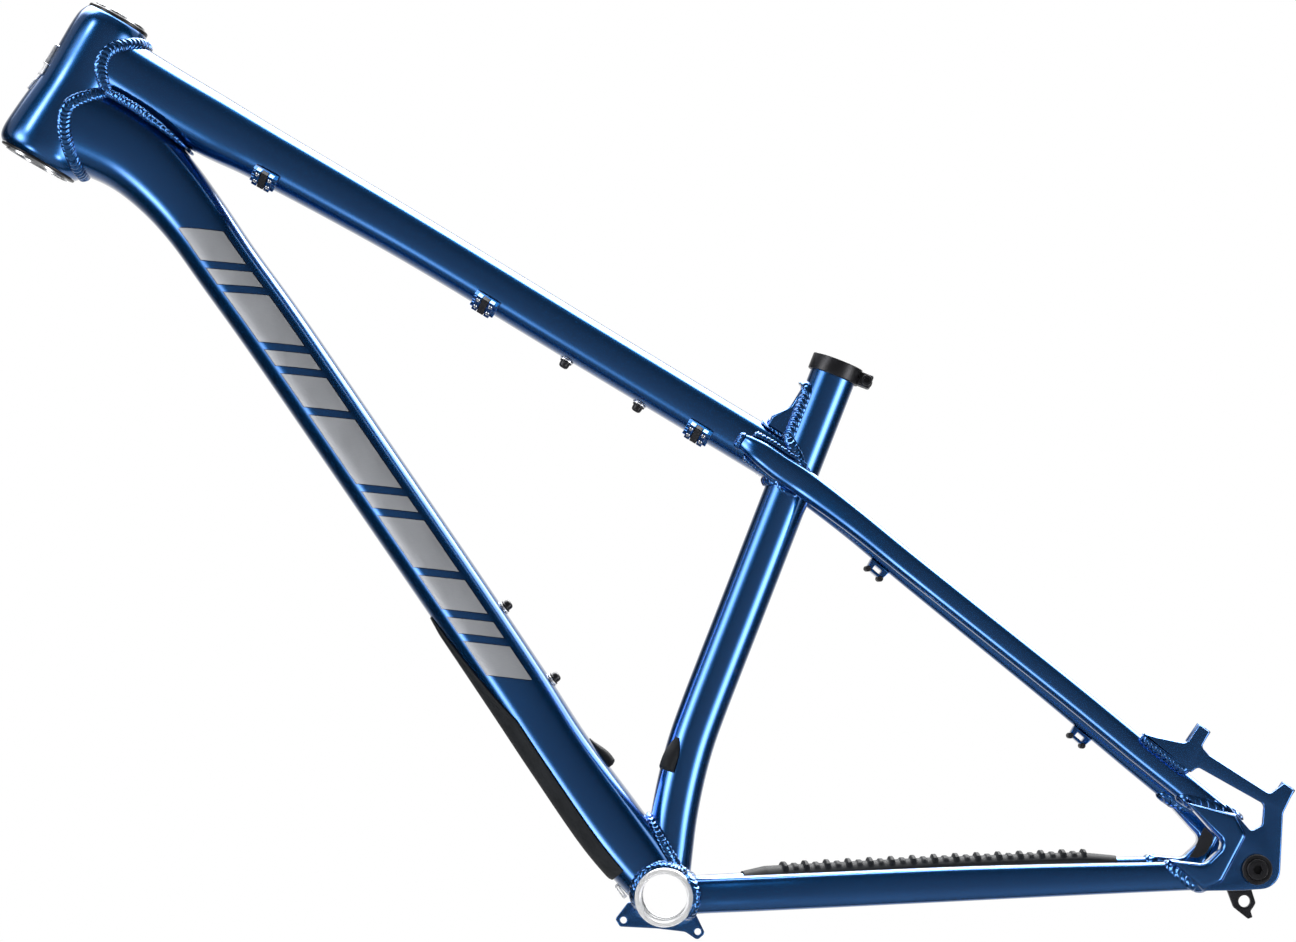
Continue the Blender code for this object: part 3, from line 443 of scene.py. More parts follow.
def softened(profile, radius, closed=True, steps=3):
    """The profile with its sharp corners rounded."""
    result = []
    count = len(profile)
    for k, corner in enumerate(profile):
        if not closed and k in (0, count - 1):
            result.append(tuple(corner))
            continue
        middle = Vector(corner)
        before = Vector(profile[k - 1]) - middle
        after = Vector(profile[(k + 1) % count]) - middle
        reach = min(radius, before.length * 0.4, after.length * 0.4)
        start = middle + before.normalized() * reach
        end = middle + after.normalized() * reach
        for step in range(steps + 1):
            t = step / steps
            point = start.lerp(middle, t).lerp(middle.lerp(end, t), t)
            result.append(tuple(point))
    return result


def turned(name, profile, material, matrix, node=None, body="frame", soft=0.0003, steps=72):
    """A turned piece whose profile's corners are slightly rounded."""
    solid = lathe_solid(softened(profile, soft, profile[0][0] != 0.0), matrix, steps)
    return shaped(name, solid, material, node, body, 30.0)


def sleeve(outside, inside, low, high):
    """The profile of a plain ring."""
    return [(outside, high), (outside, low), (inside, low), (inside, high)]


def strip(low_half, low, high_half, high):
    """The outline of a bar, its two long edges given by half length and height."""
    return [(-low_half, low), (low_half, low), (high_half, high), (-high_half, high)]


def rounded(corners, steps=8):
    """An outline whose corners (x, z, radius) are turned into arcs."""
    points = []
    count = len(corners)
    for k, (x, z, radius) in enumerate(corners):
        corner = Vector((x, z))
        if radius == 0.0:
            points.append(corner)
            continue
        before = Vector(corners[k - 1][:2]) - corner
        after = Vector(corners[(k + 1) % count][:2]) - corner
        half = before.angle(after) / 2
        reach = min(radius / math.tan(half), before.length * 0.48, after.length * 0.48)
        radius = reach * math.tan(half)
        middle = corner + (before.normalized() + after.normalized()).normalized() * (
            radius / math.sin(half))
        start = corner + before.normalized() * reach - middle
        end = corner + after.normalized() * reach - middle
        sweep = start.angle_signed(end)
        for step in range(steps + 1):
            points.append(middle + Matrix.Rotation(-sweep * step / steps, 2) @ start)
    return points


def circle(x, z, radius, sides=48):
    turns = [2 * math.pi * k / sides for k in range(sides)]
    return [Vector((x + radius * math.cos(a), z + radius * math.sin(a))) for a in turns]


def plate(name, outlines, thickness, matrix, material, node, edge):
    """A piece from a flat outline with holes, given its thickness and rounded rims."""
    curve = bpy.data.curves.new(name, "CURVE")
    curve.dimensions = "2D"
    curve.fill_mode = "BOTH"
    curve.extrude = thickness / 2 - edge
    curve.bevel_depth = edge
    curve.bevel_resolution = 2
    curve.offset = -edge
    for outline in outlines:
        spline = curve.splines.new("POLY")
        spline.points.add(len(outline) - 1)
        spline.use_cyclic_u = True
        for point, place in zip(spline.points, outline):
            point.co = (place[0], place[1], 0.0, 1.0)
    source = linked(name + "_outline", curve)
    mesh = evaluated(source)
    discard(source)
    bpy.data.curves.remove(curve)
    shape = bmesh.new()
    shape.from_mesh(mesh)
    bmesh.ops.remove_doubles(shape, verts=shape.verts, dist=0.000001)
    bmesh.ops.transform(shape, matrix=matrix, verts=shape.verts)
    return add_piece(name, finished(name, shape, 50.0), material, node)


def inset(outline, distance):
    """The outline moved inwards all round."""
    count = len(outline)
    area = sum(outline[k - 1].cross(outline[k]) for k in range(count))
    facing = 1.0 if area > 0 else -1.0
    result = []
    for k, point in enumerate(outline):
        before = (point - outline[k - 1]).normalized()
        after = (outline[(k + 1) % count] - point).normalized()
        one = Vector((-before.y, before.x)) * facing
        two = Vector((-after.y, after.x)) * facing
        result.append(point + (one + two) * (distance / max(1.0 + one.dot(two), 0.4)))
    return result


def forged(outline, thickness, matrix, edge, steps=6):
    """A closed solid of an outline whose rims are rounded over."""
    rows = []
    for half in (-1.0, 1.0):
        for step in (range(steps + 1) if half < 0 else range(steps, -1, -1)):
            turn = QUARTER * step / steps
            ring = inset(outline, edge * (1.0 - math.sin(turn)))
            height = half * (thickness / 2 - edge * (1.0 - math.cos(turn)))
            rows.append([matrix @ Vector((point[0], point[1], height)) for point in ring])
    return grid(rows)


ON_SIDE = Matrix.Rotation(QUARTER, 4, "X")          # local Z to -Y
TO_RIGHT = Matrix.Rotation(-QUARTER, 4, "X")        # local Z to +Y


def along_y(x=0.0, y=0.0, z=0.0):
    """Local X and Y are the side view's x and z; local Z points to -Y."""
    return moved(x, y, z) @ ON_SIDE


def leaning(x, z, angle):
    """Local Z leans back from vertical, as the head and seat tubes do."""
    return moved(x, 0.0, z) @ Matrix.Rotation(QUARTER - angle, 4, "Y")


def tool(solid):
    """An object for cutting or joining, which stays no longer than that."""
    return linked("tool", mesh_of("tool", solid))


def boolean(item, other, operation):
    modifier = item.modifiers.new("boolean", "BOOLEAN")
    modifier.operation = operation
    modifier.solver = "EXACT"
    modifier.object = other


def cut(item, solids):
    """Takes solids away from a piece, once and for all."""
    tools = [tool(solid) for solid in solids]
    for other in tools:
        boolean(item, other, "DIFFERENCE")
    old, mesh = item.data, evaluated(item)
    item.modifiers.clear()
    item.data = shade(mesh)
    bpy.data.meshes.remove(old)
    for other in tools:
        discard(other)


# ---- crossings of surfaces, and the welds along them -----------------------------
class Surface:
    """A closed solid, ready for crossings and inside tests."""

    def __init__(self, solid):
        shape = bmesh_of(solid)
        bmesh.ops.remove_doubles(shape, verts=shape.verts, dist=0.000002)
        bmesh.ops.recalc_face_normals(shape, faces=shape.faces)
        bmesh.ops.triangulate(shape, faces=shape.faces)
        shape.verts.index_update()
        self.points = [vertex.co.copy() for vertex in shape.verts]
        self.triangles = [tuple(v.index for v in face.verts) for face in shape.faces]
        shape.free()
        self.tree = BVHTree.FromPolygons(self.points, self.triangles)

    def normal(self, point):
        return self.tree.find_nearest(point)[1]

    def depth(self, point):
        """How far a point lies outside, or inside where it is negative."""
        place, normal, _, distance = self.tree.find_nearest(point)
        return math.copysign(distance, (point - place).dot(normal))


def hit(start, end, triangle):
    """Where the edge from start to end goes through a triangle."""
    run = end - start
    place = intersect_ray_tri(*triangle, run, start, True)
    if place is None:
        return None
    part = (place - start).dot(run) / run.length_squared
    return place if 0.0 <= part <= 1.0 else None


def crossing(first, second, link):
    """The lines where two surfaces cross, each as (points, closed)."""
    spots = {}
    links = {}
    for i, j in first.tree.overlap(second.tree):
        ends = []
        for one, own, other, far, side in ((first, i, second, j, 0), (second, j, first, i, 1)):
            corners = one.triangles[own]
            target = [other.points[k] for k in other.triangles[far]]
            for a, b in zip(corners, corners[1:] + corners[:1]):
                key = (side, min(a, b), max(a, b), far)
                if key not in spots:
                    spots[key] = hit(one.points[min(a, b)], one.points[max(a, b)], target)
                if spots[key] is not None:
                    ends.append(key)
        if len(ends) == 2:
            links.setdefault(ends[0], []).append(ends[1])
            links.setdefault(ends[1], []).append(ends[0])
    lines = []
    unused = dict.fromkeys(links)
    starts = [key for key in links if len(links[key]) == 1] + list(links)
    for start in starts:
        if start not in unused:
            continue
        line = [start]
        del unused[start]
        while True:
            following = [key for key in links[line[-1]] if key in unused]
            if not following:
                break
            del unused[following[0]]
            line.append(following[0])
        closed = len(line) > 8 and start in links[line[-1]]
        lines.append(([spots[key] for key in line], closed))
    return joined(lines, link)


def joined(lines, reach):
    """The lines with near ends linked into one, and near rings closed."""
    whole = [points for points, closed in lines if closed]
    open_lines = sorted((points for points, closed in lines if not closed), key=len)
    found = [(points, True) for points in whole]
    while open_lines:
        line = open_lines.pop()
        growing = True
        while growing:
            growing = False
            for other in list(open_lines):
                for piece in (other, other[::-1]):
                    if (piece[0] - line[-1]).length < reach:
                        line = line + piece
                    elif (piece[-1] - line[0]).length < reach:
                        line = piece + line
                    else:
                        continue
                    open_lines.remove(other)
                    growing = True
                    break
        if len(line) > 4:
            length = sum((b - a).length for a, b in zip(line, line[1:]))
            ring = length > 4 * reach and (line[0] - line[-1]).length < reach
            found.append((line, ring))
    return found


def smoothed(points, closed, passes):
    for _ in range(passes):
        count = len(points)
        smooth = []
        for k in range(count):
            if not closed and k in (0, count - 1):
                smooth.append(points[k])
            else:
                smooth.append((points[k - 1] + points[k] * 2 + points[(k + 1) % count]) / 4)
        points = smooth
    return points


def resampled(points, closed, spacing):
    """The same line with even steps."""
    path = points + points[:1] if closed else points
    return [path[k].lerp(path[k + 1], part)
            for k, part in even_steps(path, spacing, 4, not closed)]


def averaged(values, closed, width):
    """A running mean of unit vectors."""
    count = len(values)
    result = []
    for k in range(count):
        total = Vector()
        for step in range(-width, width + 1):
            n = k + step
            if closed:
                n %= count
            total += values[min(max(n, 0), count - 1)]
        result.append(total.normalized())
    return result


def runs(flags, closed):
    """Stretches of kept samples, as lists of their numbers."""
    count = len(flags)
    if all(flags):
        return [(list(range(count)), closed)]
    start = flags.index(False) if closed else 0
    found, current = [], []
    for k in range(count):
        n = (start + k) % count
        if flags[n]:
            current.append(n)
        elif current:
            found.append((current, False))
            current = []
    if current:
        found.append((current, False))
    return found


WELD_STEPS = 8               # samples in one ripple
WELD_SIDES = 14
SHORTEST_WELD = 0.010
BURIED = 0.0012              # how deep in another solid a weld stops
TOE_SINK = 0.0003            # how deep the edges of a bead lie in the two surfaces
ROOT = 0.0012                # how deep its middle line lies below the crossing


def bead_mesh(name, path, ones, others, closed, reach, pitch, bulge, ripple, butt):
    """A bead of overlapping crescents between two surfaces."""
    count = len(path)
    window = int(0.004 * WELD_STEPS / pitch)
    ones = averaged(ones, closed, window)
    others = averaged(others, closed, window)
    length = count * pitch / WELD_STEPS
    ripples = max(1, round(length / pitch))
    sizes = [RANDOM.uniform(0.82, 1.15) for _ in range(ripples + 2)]
    shifts = [RANDOM.uniform(-0.1, 0.1) for _ in range(ripples + 2)]
    rows = []
    for k in range(count):
        ahead = path[(k + 1) % count] if closed else path[min(k + 1, count - 1)]
        behind = path[k - 1] if closed or k else path[0]
        along = (ahead - behind).normalized()
        toe_one = ones[k].cross(along).normalized()
        if butt:
            toe_other = -toe_one
            out = ones[k]
        else:
            if toe_one.dot(others[k]) < 0:
                toe_one.negate()
            toe_other = others[k].cross(along).normalized()
            if toe_other.dot(ones[k]) < 0:
                toe_other.negate()
            out = (ones[k] + others[k]).normalized()
        fade = 1.0
        if not closed:
            near_end = min(k, count - 1 - k) / (WELD_STEPS * 1.2)
            fade = math.sqrt(max(0.04, 1.0 - (1.0 - min(near_end, 1.0)) ** 2))
        place = k / WELD_STEPS
        size = sizes[int(place) % ripples]
        width = reach * fade * (0.94 + 0.10 * size)
        start = path[k] + toe_one * width - ones[k] * TOE_SINK
        end = path[k] + toe_other * width - (ones[k] if butt else others[k]) * TOE_SINK
        row = []
        for n in range(WELD_SIDES + 1):
            t = n / WELD_SIDES
            u = 2 * t - 1
            phase = place + shifts[int(place) % ripples] - 0.85 * (1 - u * u)
            part = phase - math.floor(phase)
            wave = math.sin(math.pi * part ** 0.55)
            height = bulge * fade * (1 - abs(u) ** 2.4) + ripple * size * wave * (
                1 - u ** 6) * fade
            row.append(start.lerp(end, t) + out * height)
        row.append(path[k] - out * ROOT)
        rows.append(row)
    return finished(name, bmesh_of(grid(rows, closed)), 60.0)


def filled(flags, closed, gap):
    """The flags with their short false stretches made true."""
    count = len(flags)
    result = list(flags)
    for k in range(count):
        if flags[k]:
            continue
        around = [[k + sign * step for step in range(1, gap + 1)] for sign in (-1, 1)]
        if not closed:
            around = [[n for n in side if 0 <= n < count] for side in around]
        result[k] = all(any(flags[n % count] for n in side) for side in around)
    return result


def weld(name, first, second, hidden_by=(), reach=0.0046, pitch=0.0035, bulge=0.0013,
         ripple=0.0009, butt=False, link=0.003, lift=0.0):
    """Beads along the crossing of two solids, where no other solid covers them."""
    number = 0
    step = pitch / WELD_STEPS
    for points, closed in crossing(SURFACES[first], SURFACES[second], link):
        coarse = smoothed(resampled(points, closed, 0.0015), closed, 4)
        path = smoothed(resampled(coarse, closed, step), closed, 6)
        if len(path) * step < SHORTEST_WELD:
            continue
        flags = [all(SURFACES[other].depth(point) > -BURIED for other in hidden_by)
                 for point in path]
        flags = filled(flags, closed, int(0.003 / step))
        for numbers, loop in runs(flags, closed):
            if len(numbers) * step < SHORTEST_WELD:
                continue
            line = [path[n] for n in numbers]
            ones = [SURFACES[first].normal(point) for point in line]
            others = [SURFACES[second].normal(point) for point in line]
            if lift:
                line = [point + (one + other).normalized() * lift
                        for point, one, other in zip(line, ones, others)]
            number += 1
            label = "weld_%s_%d" % (name, number)
            mesh = bead_mesh(label, line, ones, others, loop, reach, pitch, bulge, ripple, butt)
            add_piece(label, mesh, WELD_BLUE_PAINTED_GLINT)


# ---- the tubes and their solids ------------------------------------------------
def seat_axis(distance):
    """x and z on the seat tube's axis, a distance above its top face."""
    return (SEAT_TUBE_TOP[0] + distance * math.cos(SEAT_ANGLE),
            SEAT_TUBE_TOP[1] + distance * math.sin(SEAT_ANGLE))


def seat_tube_stations():
    diameter = 2 * SEAT_TUBE_RADIUS
    rows = [(*place, diameter, diameter) for place in SEAT_TUBE_LOW]
    for distance in (-0.09, -0.04, 0.0):
        x, z = seat_axis(distance)
        rows.append((x, 0.0, z, diameter, diameter))
    return rows


def smooth_profile(profile, steps=5):
    """A smooth line through a profile's (distance, radius) points."""
    last = len(profile) - 1
    result = []
    for k in range(last):
        around = [profile[max(k - 1, 0)], profile[k], profile[k + 1], profile[min(k + 2, last)]]
        result += [catmull(*around, step / steps) for step in range(steps)]
    return result + [list(profile[last])]


HEAD_MATRIX = leaning(-REACH, STACK, HEAD_ANGLE)
HEAD_CURVE = smooth_profile(HEAD_PROFILE)
HEAD_OUTER = [(radius, -distance) for distance, radius in HEAD_CURVE]
TOP = Tube(TOP_TUBE)
DOWN = Tube(DOWN_TUBE)
SEAT = Tube(seat_tube_stations(), power=2.0)
SIDES = (("left", -1.0), ("right", 1.0))
CHAIN = {side: Tube(CHAINSTAY, sign) for side, sign in SIDES}
STAY = {side: Tube(SEATSTAY, sign) for side, sign in SIDES}

SOLIDS = {
    "head": lathe_solid([(0.0, 0.0)] + HEAD_OUTER + [(0.0, -HEAD_LENGTH)], HEAD_MATRIX, 96),
    "top": TOP.solid(64, 0.006),
    "down": DOWN.solid(72, 0.006),
    "seat": SEAT.solid(64, 0.006),
    "shell": lathe_solid([(0.0, BB_HALF_WIDTH), (BB_RADIUS, BB_HALF_WIDTH),
                          (BB_RADIUS, -BB_HALF_WIDTH), (0.0, -BB_HALF_WIDTH)], along_y(), 96)}
for side, _ in SIDES:
    SOLIDS["chain_" + side] = CHAIN[side].solid(44, 0.005)
    SOLIDS["stay_" + side] = STAY[side].solid(40, 0.004)


def box_solid(low, high, matrix):
    points = [matrix @ Vector((x, y, z)) for x in (low[0], high[0]) for y in (low[1], high[1])
              for z in (low[2], high[2])]
    faces = [(0, 1, 3, 2), (4, 6, 7, 5), (0, 4, 5, 1), (2, 3, 7, 6), (0, 2, 6, 4), (1, 5, 7, 3)]
    return points, faces


def saw_solid(line, keep):
    """A block whose face lies on a line of the side view, clear of the point to keep."""
    start, end = Vector(line[0]), Vector(line[1])
    along = (end - start).normalized()
    out = Vector((-along.y, along.x))
    if out.dot(Vector(keep) - start) > 0:
        out.negate()
    half, side = 0.08, 0.2
    centre = (start + end) / 2 + out * half
    turn = Matrix.Rotation(-math.atan2(along.y, along.x), 4, "Y")
    return box_solid((-half, -side, -half), (half, side, half),
                     moved(centre.x, 0.0, centre.y) @ turn)


SOLIDS["low_saw"] = saw_solid(STAY_CUT_LOW, (0.3, 0.04))
SOLIDS["high_saw"] = saw_solid(STAY_CUT_HIGH, (0.3, 0.16))
GUSSET = ((0.0490, 0.3560, 0.0), (0.0520, 0.3640, 0.0), (0.0650, 0.3715, 0.012),
          (0.0735, 0.3880, 0.0), (0.0900, 0.3760, 0.0), (0.0800, 0.3400, 0.0))
GUSSET_WIDTH = 0.022


# The gusset's plain solid, for the welds along it
SOLIDS["gusset"] = grid([
    [along_y() @ Vector((*point, height)) for point in rounded(GUSSET, 8)]
    for height in (-GUSSET_WIDTH / 2, GUSSET_WIDTH / 2)])
SURFACES = {name: Surface(solid) for name, solid in SOLIDS.items()}


def solid_tube(name, key, node, cutters):
    cut(shaped(name, SOLIDS[key], BLUE, node), [SOLIDS[cutter] for cutter in cutters])


def make_tubes():
    bore = [(radius, -distance) for distance, radius in HEAD_BORE]
    shaped("head_tube_shaped",
           lathe_solid(HEAD_OUTER + softened(bore, 0.0006), HEAD_MATRIX, 128), BLUE,
           "head_tube", smooth_angle=40.0)
    solid_tube("top_tube_formed", "top", "top_tube", ("head", "seat"))
    solid_tube("down_tube_formed", "down", "down_tube", ("head", "top", "seat", "shell"))
    places = SEAT.places(0.006)
    rows = [SEAT.ring(place, 64) for place in places]
    rows += [SEAT.ring(place, 64, 0.0, SEAT_TUBE_BORE - SEAT_TUBE_RADIUS)
             for place in reversed(places)]
    cut(shaped("seat_tube_formed", grid(rows, True), BLUE, "seat_tube"), [SOLIDS["shell"]])
    for side, _ in SIDES:
        solid_tube("chainstay_formed_" + side, "chain_" + side, "chainstay_" + side,
                   ("shell", "seat", "low_saw"))
        solid_tube("seatstay_formed_" + side, "stay_" + side, "seatstay_" + side,
                   ("seat", "top", "high_saw"))
    gusset = shaped("seat_gusset_pressed", forged(rounded(GUSSET, 8), GUSSET_WIDTH, along_y(),
                                                  0.0025), BLUE, "seat_tube_gusset")
    cut(gusset, [SOLIDS["top"], SOLIDS["seat"]])


def make_shell():
    half = BB_HALF_WIDTH
    pitch, depth, lead_in, threaded = 0.00106, 0.0005, 0.0015, 0.026
    thread = []
    for k in range(int(threaded / pitch)):
        thread += [(BB_BORE, -half + lead_in + pitch * k),
                   (BB_BORE + depth, -half + lead_in + pitch * (k + 0.5))]
    relief = [(BB_BORE + 0.0009, -half + 0.0290), (BB_BORE + 0.0009, half - 0.0290)]
    mirrored = [(radius, -height) for radius, height in reversed(thread)]
    outer = [(BB_RADIUS - 0.0008, half), (BB_RADIUS, half - 0.0008),
             (BB_RADIUS, 0.0008 - half), (BB_RADIUS - 0.0008, -half)]
    inner = [(BB_BORE + 0.0014, -half)] + thread + relief + mirrored + [(BB_BORE + 0.0014, half)]
    shaped("bottom_bracket_threaded",
           lathe_solid(softened(outer, 0.0004, False) + inner, along_y(), 128), BARE,
           "bottom_bracket_shell", smooth_angle=28.0)


def make_welds():
    weld("head_top", "top", "head", ("down",), reach=0.0050)
    weld("head_down", "down", "head", ("top",), reach=0.0050, link=0.012)
    weld("down_top", "down", "top", ("head",), reach=0.0066, bulge=0.0020, link=0.020,
         lift=0.0036)
    weld("top_seat", "top", "seat", ("stay_left", "stay_right", "gusset"))
    weld("gusset_seat", "gusset", "seat", ("top",), reach=0.0048, pitch=0.0038, ripple=0.0011)
    weld("gusset_top", "gusset", "top", ("seat",), reach=0.0040)
    for side, _ in SIDES:
        stay = "stay_" + side
        weld(stay + "_top", stay, "top", ("seat", "gusset"), pitch=0.0030)
        weld(stay + "_seat", stay, "seat", ("top",), pitch=0.0030)
        chain = "chain_" + side
        weld(chain + "_shell", chain, "shell", ("seat", "down"), reach=0.0050)
        weld(chain + "_seat", chain, "seat", ("shell",), reach=0.0040)
        for tube, saw, reach, pitch in ((chain, "low_saw", 0.0060, 0.0052),
                                        (stay, "high_saw", 0.0056, 0.0050)):
            weld(tube + "_yoke", tube, saw, (), reach, pitch, 0.0016, 0.0010, True)
    weld("down_shell", "down", "shell", ("seat", "chain_left", "chain_right"), reach=0.0050)
    weld("seat_shell", "seat", "shell", ("down", "chain_left", "chain_right"), reach=0.0050)
    weld("down_seat", "down", "seat", ("shell",), reach=0.0048)
    make_arm_weld()


def make_arm_weld():
    """The bead where the brake arm's lower edge meets the left seatstay."""
    pitch = 0.0040
    start, end = Vector((0.3385, -0.0722, 0.1470)), Vector((0.3740, -0.0762, 0.1225))
    count = int((end - start).length / pitch * WELD_STEPS)
    path = [start.lerp(end, k / count) for k in range(count + 1)]
    ones = [Vector((0.0, -1.0, 0.0))] * len(path)
    others = [Vector((-0.57, 0.0, -0.82))] * len(path)
    mesh = bead_mesh("weld_brake_arm", path, ones, others, False, 0.0052, pitch, 0.0014, 0.0009,
                     False)
    add_piece("weld_brake_arm", mesh, WELD_BLUE_PAINTED_GLINT)


# ---- rear ends -----------------------------------------------------------------
YOKE_THROAT = (
    (0.3640, 0.0578, 0.0005), (0.3896, 0.0572, 0.0080), (0.4028, 0.0722, 0.0060),
    (0.3725, 0.1010, 0.0005))
YOKE_RIDGE = (
    (0.4095, 0.0948, 0.0010), (0.4185, 0.0800, 0.0060), (0.4030, 0.0445, 0.0060),
    (0.3892, 0.0375, 0.0010))
HEEL = (
    (0.4445, 0.0440, 0.0150), (0.4180, 0.0402, 0.0100), (0.3892, 0.0375, 0.0010))
BRAKE_ARM = (
    (0.4099, 0.0947, 0.0010), (0.4212, 0.0833, 0.0035), (0.4290, 0.0880, 0.0040),
    (0.4292, 0.1036, 0.0045), (0.3800, 0.1265, 0.0035), (0.3745, 0.1220, 0.0020),
    (0.3362, 0.1485, 0.0005), (0.3480, 0.1458, 0.0080), (0.3700, 0.1430, 0.0040),
    (0.3785, 0.1576, 0.0010), (0.3868, 0.1525, 0.0010), (0.3815, 0.1415, 0.0030),
    (0.3874, 0.1357, 0.0030), (0.4329, 0.1112, 0.0040), (0.4429, 0.1198, 0.0010),
    (0.4506, 0.1153, 0.0010), (0.4435, 0.0980, 0.0080))
DRIVE_BACK = (
    (0.4095, 0.0948, 0.0010), (0.4240, 0.0850, 0.0080), (0.4435, 0.0760, 0.0100))
YOKE_INNER, YOKE_OUTER = 0.0625, 0.0835
POST_DIRECTION = Vector((0.505, 0.0, 0.863))
POSTS = ((0.38265, 0.15505), (0.44675, 0.11755))
POST_Y = 0.0730
HANGER = (
    (0.4160, 0.0640, 0.0080), (0.4290, 0.0722, 0.0100), (0.4428, 0.0722, 0.0045),
    (0.4433, 0.0470, 0.0060), (0.4463, 0.0356, 0.0030), (0.4498, 0.0268, 0.0035),
    (0.4462, 0.0205, 0.0020), (0.4481, 0.0160, 0.0008), (0.4448, 0.0145, 0.0008),
    (0.4330, 0.0225, 0.0040), (0.4275, 0.0345, 0.0040), (0.4170, 0.0430, 0.0060))
HANGER_THICKNESS = 0.0060
HANGER_BOLT = (0.4380, 0.0668)


def make_dropout(side, sign):
    back = BRAKE_ARM if side == "left" else DRIVE_BACK
    outlines = [rounded(YOKE_THROAT + back + HEEL), circle(*AXLE, AXLE_RADIUS + 0.0004)]
    if side == "right":
        outlines.append(circle(*HANGER_BOLT, 0.0023, 24))
    node = "dropout_" + side
    plate("dropout_plate_" + side, outlines, PLATE_THICKNESS,
          along_y(y=sign * (HUB_HALF_WIDTH + PLATE_THICKNESS / 2)), BLUE, node, 0.0012)
    corners = [(x, z, radius if radius > 0.0015 else 0.0) for x, z, radius in
               YOKE_THROAT + YOKE_RIDGE]
    shaped("dropout_yoke_" + side,
           forged(rounded(corners), YOKE_OUTER - YOKE_INNER,
                  along_y(y=sign * (YOKE_OUTER + YOKE_INNER) / 2), 0.0045), BLUE, node)


def make_brake_posts():
    """Two posts with threaded holes on the left dropout's arm."""
    profile = [(0.0, -0.0150), (0.0060, -0.0150), (0.0060, 0.0006), (0.0026, 0.0006),
               (0.0026, -0.0100), (0.0, -0.0100)]
    turn = POST_DIRECTION.to_track_quat("Z", "Y").to_matrix().to_4x4()
    for number, (x, z) in enumerate(POSTS, 1):
        turned("brake_post_%d" % number, profile, BLUE,
               moved(x, -POST_Y, z) @ turn, "dropout_left", soft=0.0005)


def make_hanger():
    inner = HUB_HALF_WIDTH + PLATE_THICKNESS + 0.0003
    outer = inner + HANGER_THICKNESS
    holes = [circle(*AXLE, 0.0083), circle(0.4410, 0.0277, 0.0045), circle(*HANGER_BOLT, 0.0023)]
    plate("hanger_machined", [rounded(HANGER)] + holes, HANGER_THICKNESS,
          along_y(y=inner + HANGER_THICKNESS / 2), BLACK, "derailleur_hanger", 0.0007)
    turned("axle_nut_turned", [(0.0100, 0.0030), (0.0100, 0.0003), (0.0080, 0.0003),
                               (0.0080, -0.0057), (0.0063, -0.0057), (0.0063, 0.0030)],
           BLACK, moved(AXLE[0], outer, AXLE[1]) @ TO_RIGHT, "axle_nut")
    turned("hanger_bolt_turned",
           [(0.0, 0.0010), (0.0012, 0.0010), (0.0013, 0.0021), (0.0030, 0.0021),
            (0.0036, 0.0014), (0.0036, 0.0003), (0.0020, 0.0003), (0.0020, -0.0110),
            (0.0, -0.0110)], BLACK, moved(HANGER_BOLT[0], outer, HANGER_BOLT[1]) @ TO_RIGHT,
           "hanger_bolt", soft=0.0002)
    # A thin black sheet on the inner face of the right dropout's yoke.
    corners = ((0.4042, 0.0824, 0.001), (0.4112, 0.0760, 0.004), (0.4116, 0.0705, 0.004),
               (0.4061, 0.0613, 0.004), (0.4010, 0.0585, 0.003), (0.3937, 0.0580, 0.001),
               (0.3972, 0.0631, 0.003))
    plate("dropout_inner_black_sheet", [rounded(corners)], 0.0012, along_y(y=YOKE_INNER - 0.0009), NYLON,
          "dropout_inner_plate", 0.0003)


GUIDE_PLATE_EARS = (
    (0.0190, -0.0118, 0.0002), (0.0235, -0.0125, 0.0008), (0.0320, -0.0270, 0.0030),
    (0.0265, -0.0325, 0.0030), (0.0170, -0.0270, 0.0080), (-0.0050, -0.0262, 0.0060),
    (-0.0325, -0.0270, 0.0025), (-0.0365, -0.0215, 0.0025), (-0.0280, -0.0085, 0.0020),
    (-0.0212, -0.0070, 0.0002))


def make_guide_plate():
    ring = BB_RADIUS + 0.0003
    ears = rounded(GUIDE_PLATE_EARS)
    low = math.atan2(ears[-1].y, ears[-1].x)
    high = math.atan2(ears[0].y, ears[0].x)
    hugging = [Vector(polar(ring, low + (high - low) * k / 24)) for k in range(25)]
    holes = [circle(x, z, 0.0025, 32) for x, z in ((-0.0302, -0.0219), (0.0263, -0.0261))]
    plate("chain_guide_mount", [ears + hugging] + holes, 0.0050, along_y(y=0.0338), BLUE,
          "chain_guide_plate", 0.0006)


# ---- guides, covers and fittings -------------------------------------------------
def guide_section(width, height):
    """A saddle with two grooves for hoses, seen along the tube."""
    groove = 0.0024
    points = [(-width / 2, 0.0), (width / 2, 0.0)]
    for centre in (width / 4, -width / 4):
        points.append((centre + groove + 0.0004, height))
        for step in range(15):
            angle = -math.pi * step / 14
            points.append((centre + groove * math.cos(angle),
                           height - 0.0002 + groove * math.sin(angle)))
        points.append((centre - groove - 0.0004, height))
    return points


GUIDE_SCREW = ((0.0, 0.0003), (0.0007, 0.0003), (0.0009, 0.0008), (0.0014, 0.0007),
               (0.0017, 0.0003), (0.0017, -0.0004), (0.0, -0.0004))
GUIDE_FOOT = ((0.0, 0.0042), (0.0018, 0.0042), (0.0023, 0.0037), (0.0023, -0.0037),
              (0.0018, -0.0042), (0.0, -0.0042))
GUIDE_CLIP = (
    (-0.0073, 0.0026), (-0.0068, 0.0026), (-0.0068, 0.0049), (0.0068, 0.0049),
    (0.0068, 0.0026), (0.0073, 0.0026), (0.0073, 0.0061), (-0.0073, 0.0061))


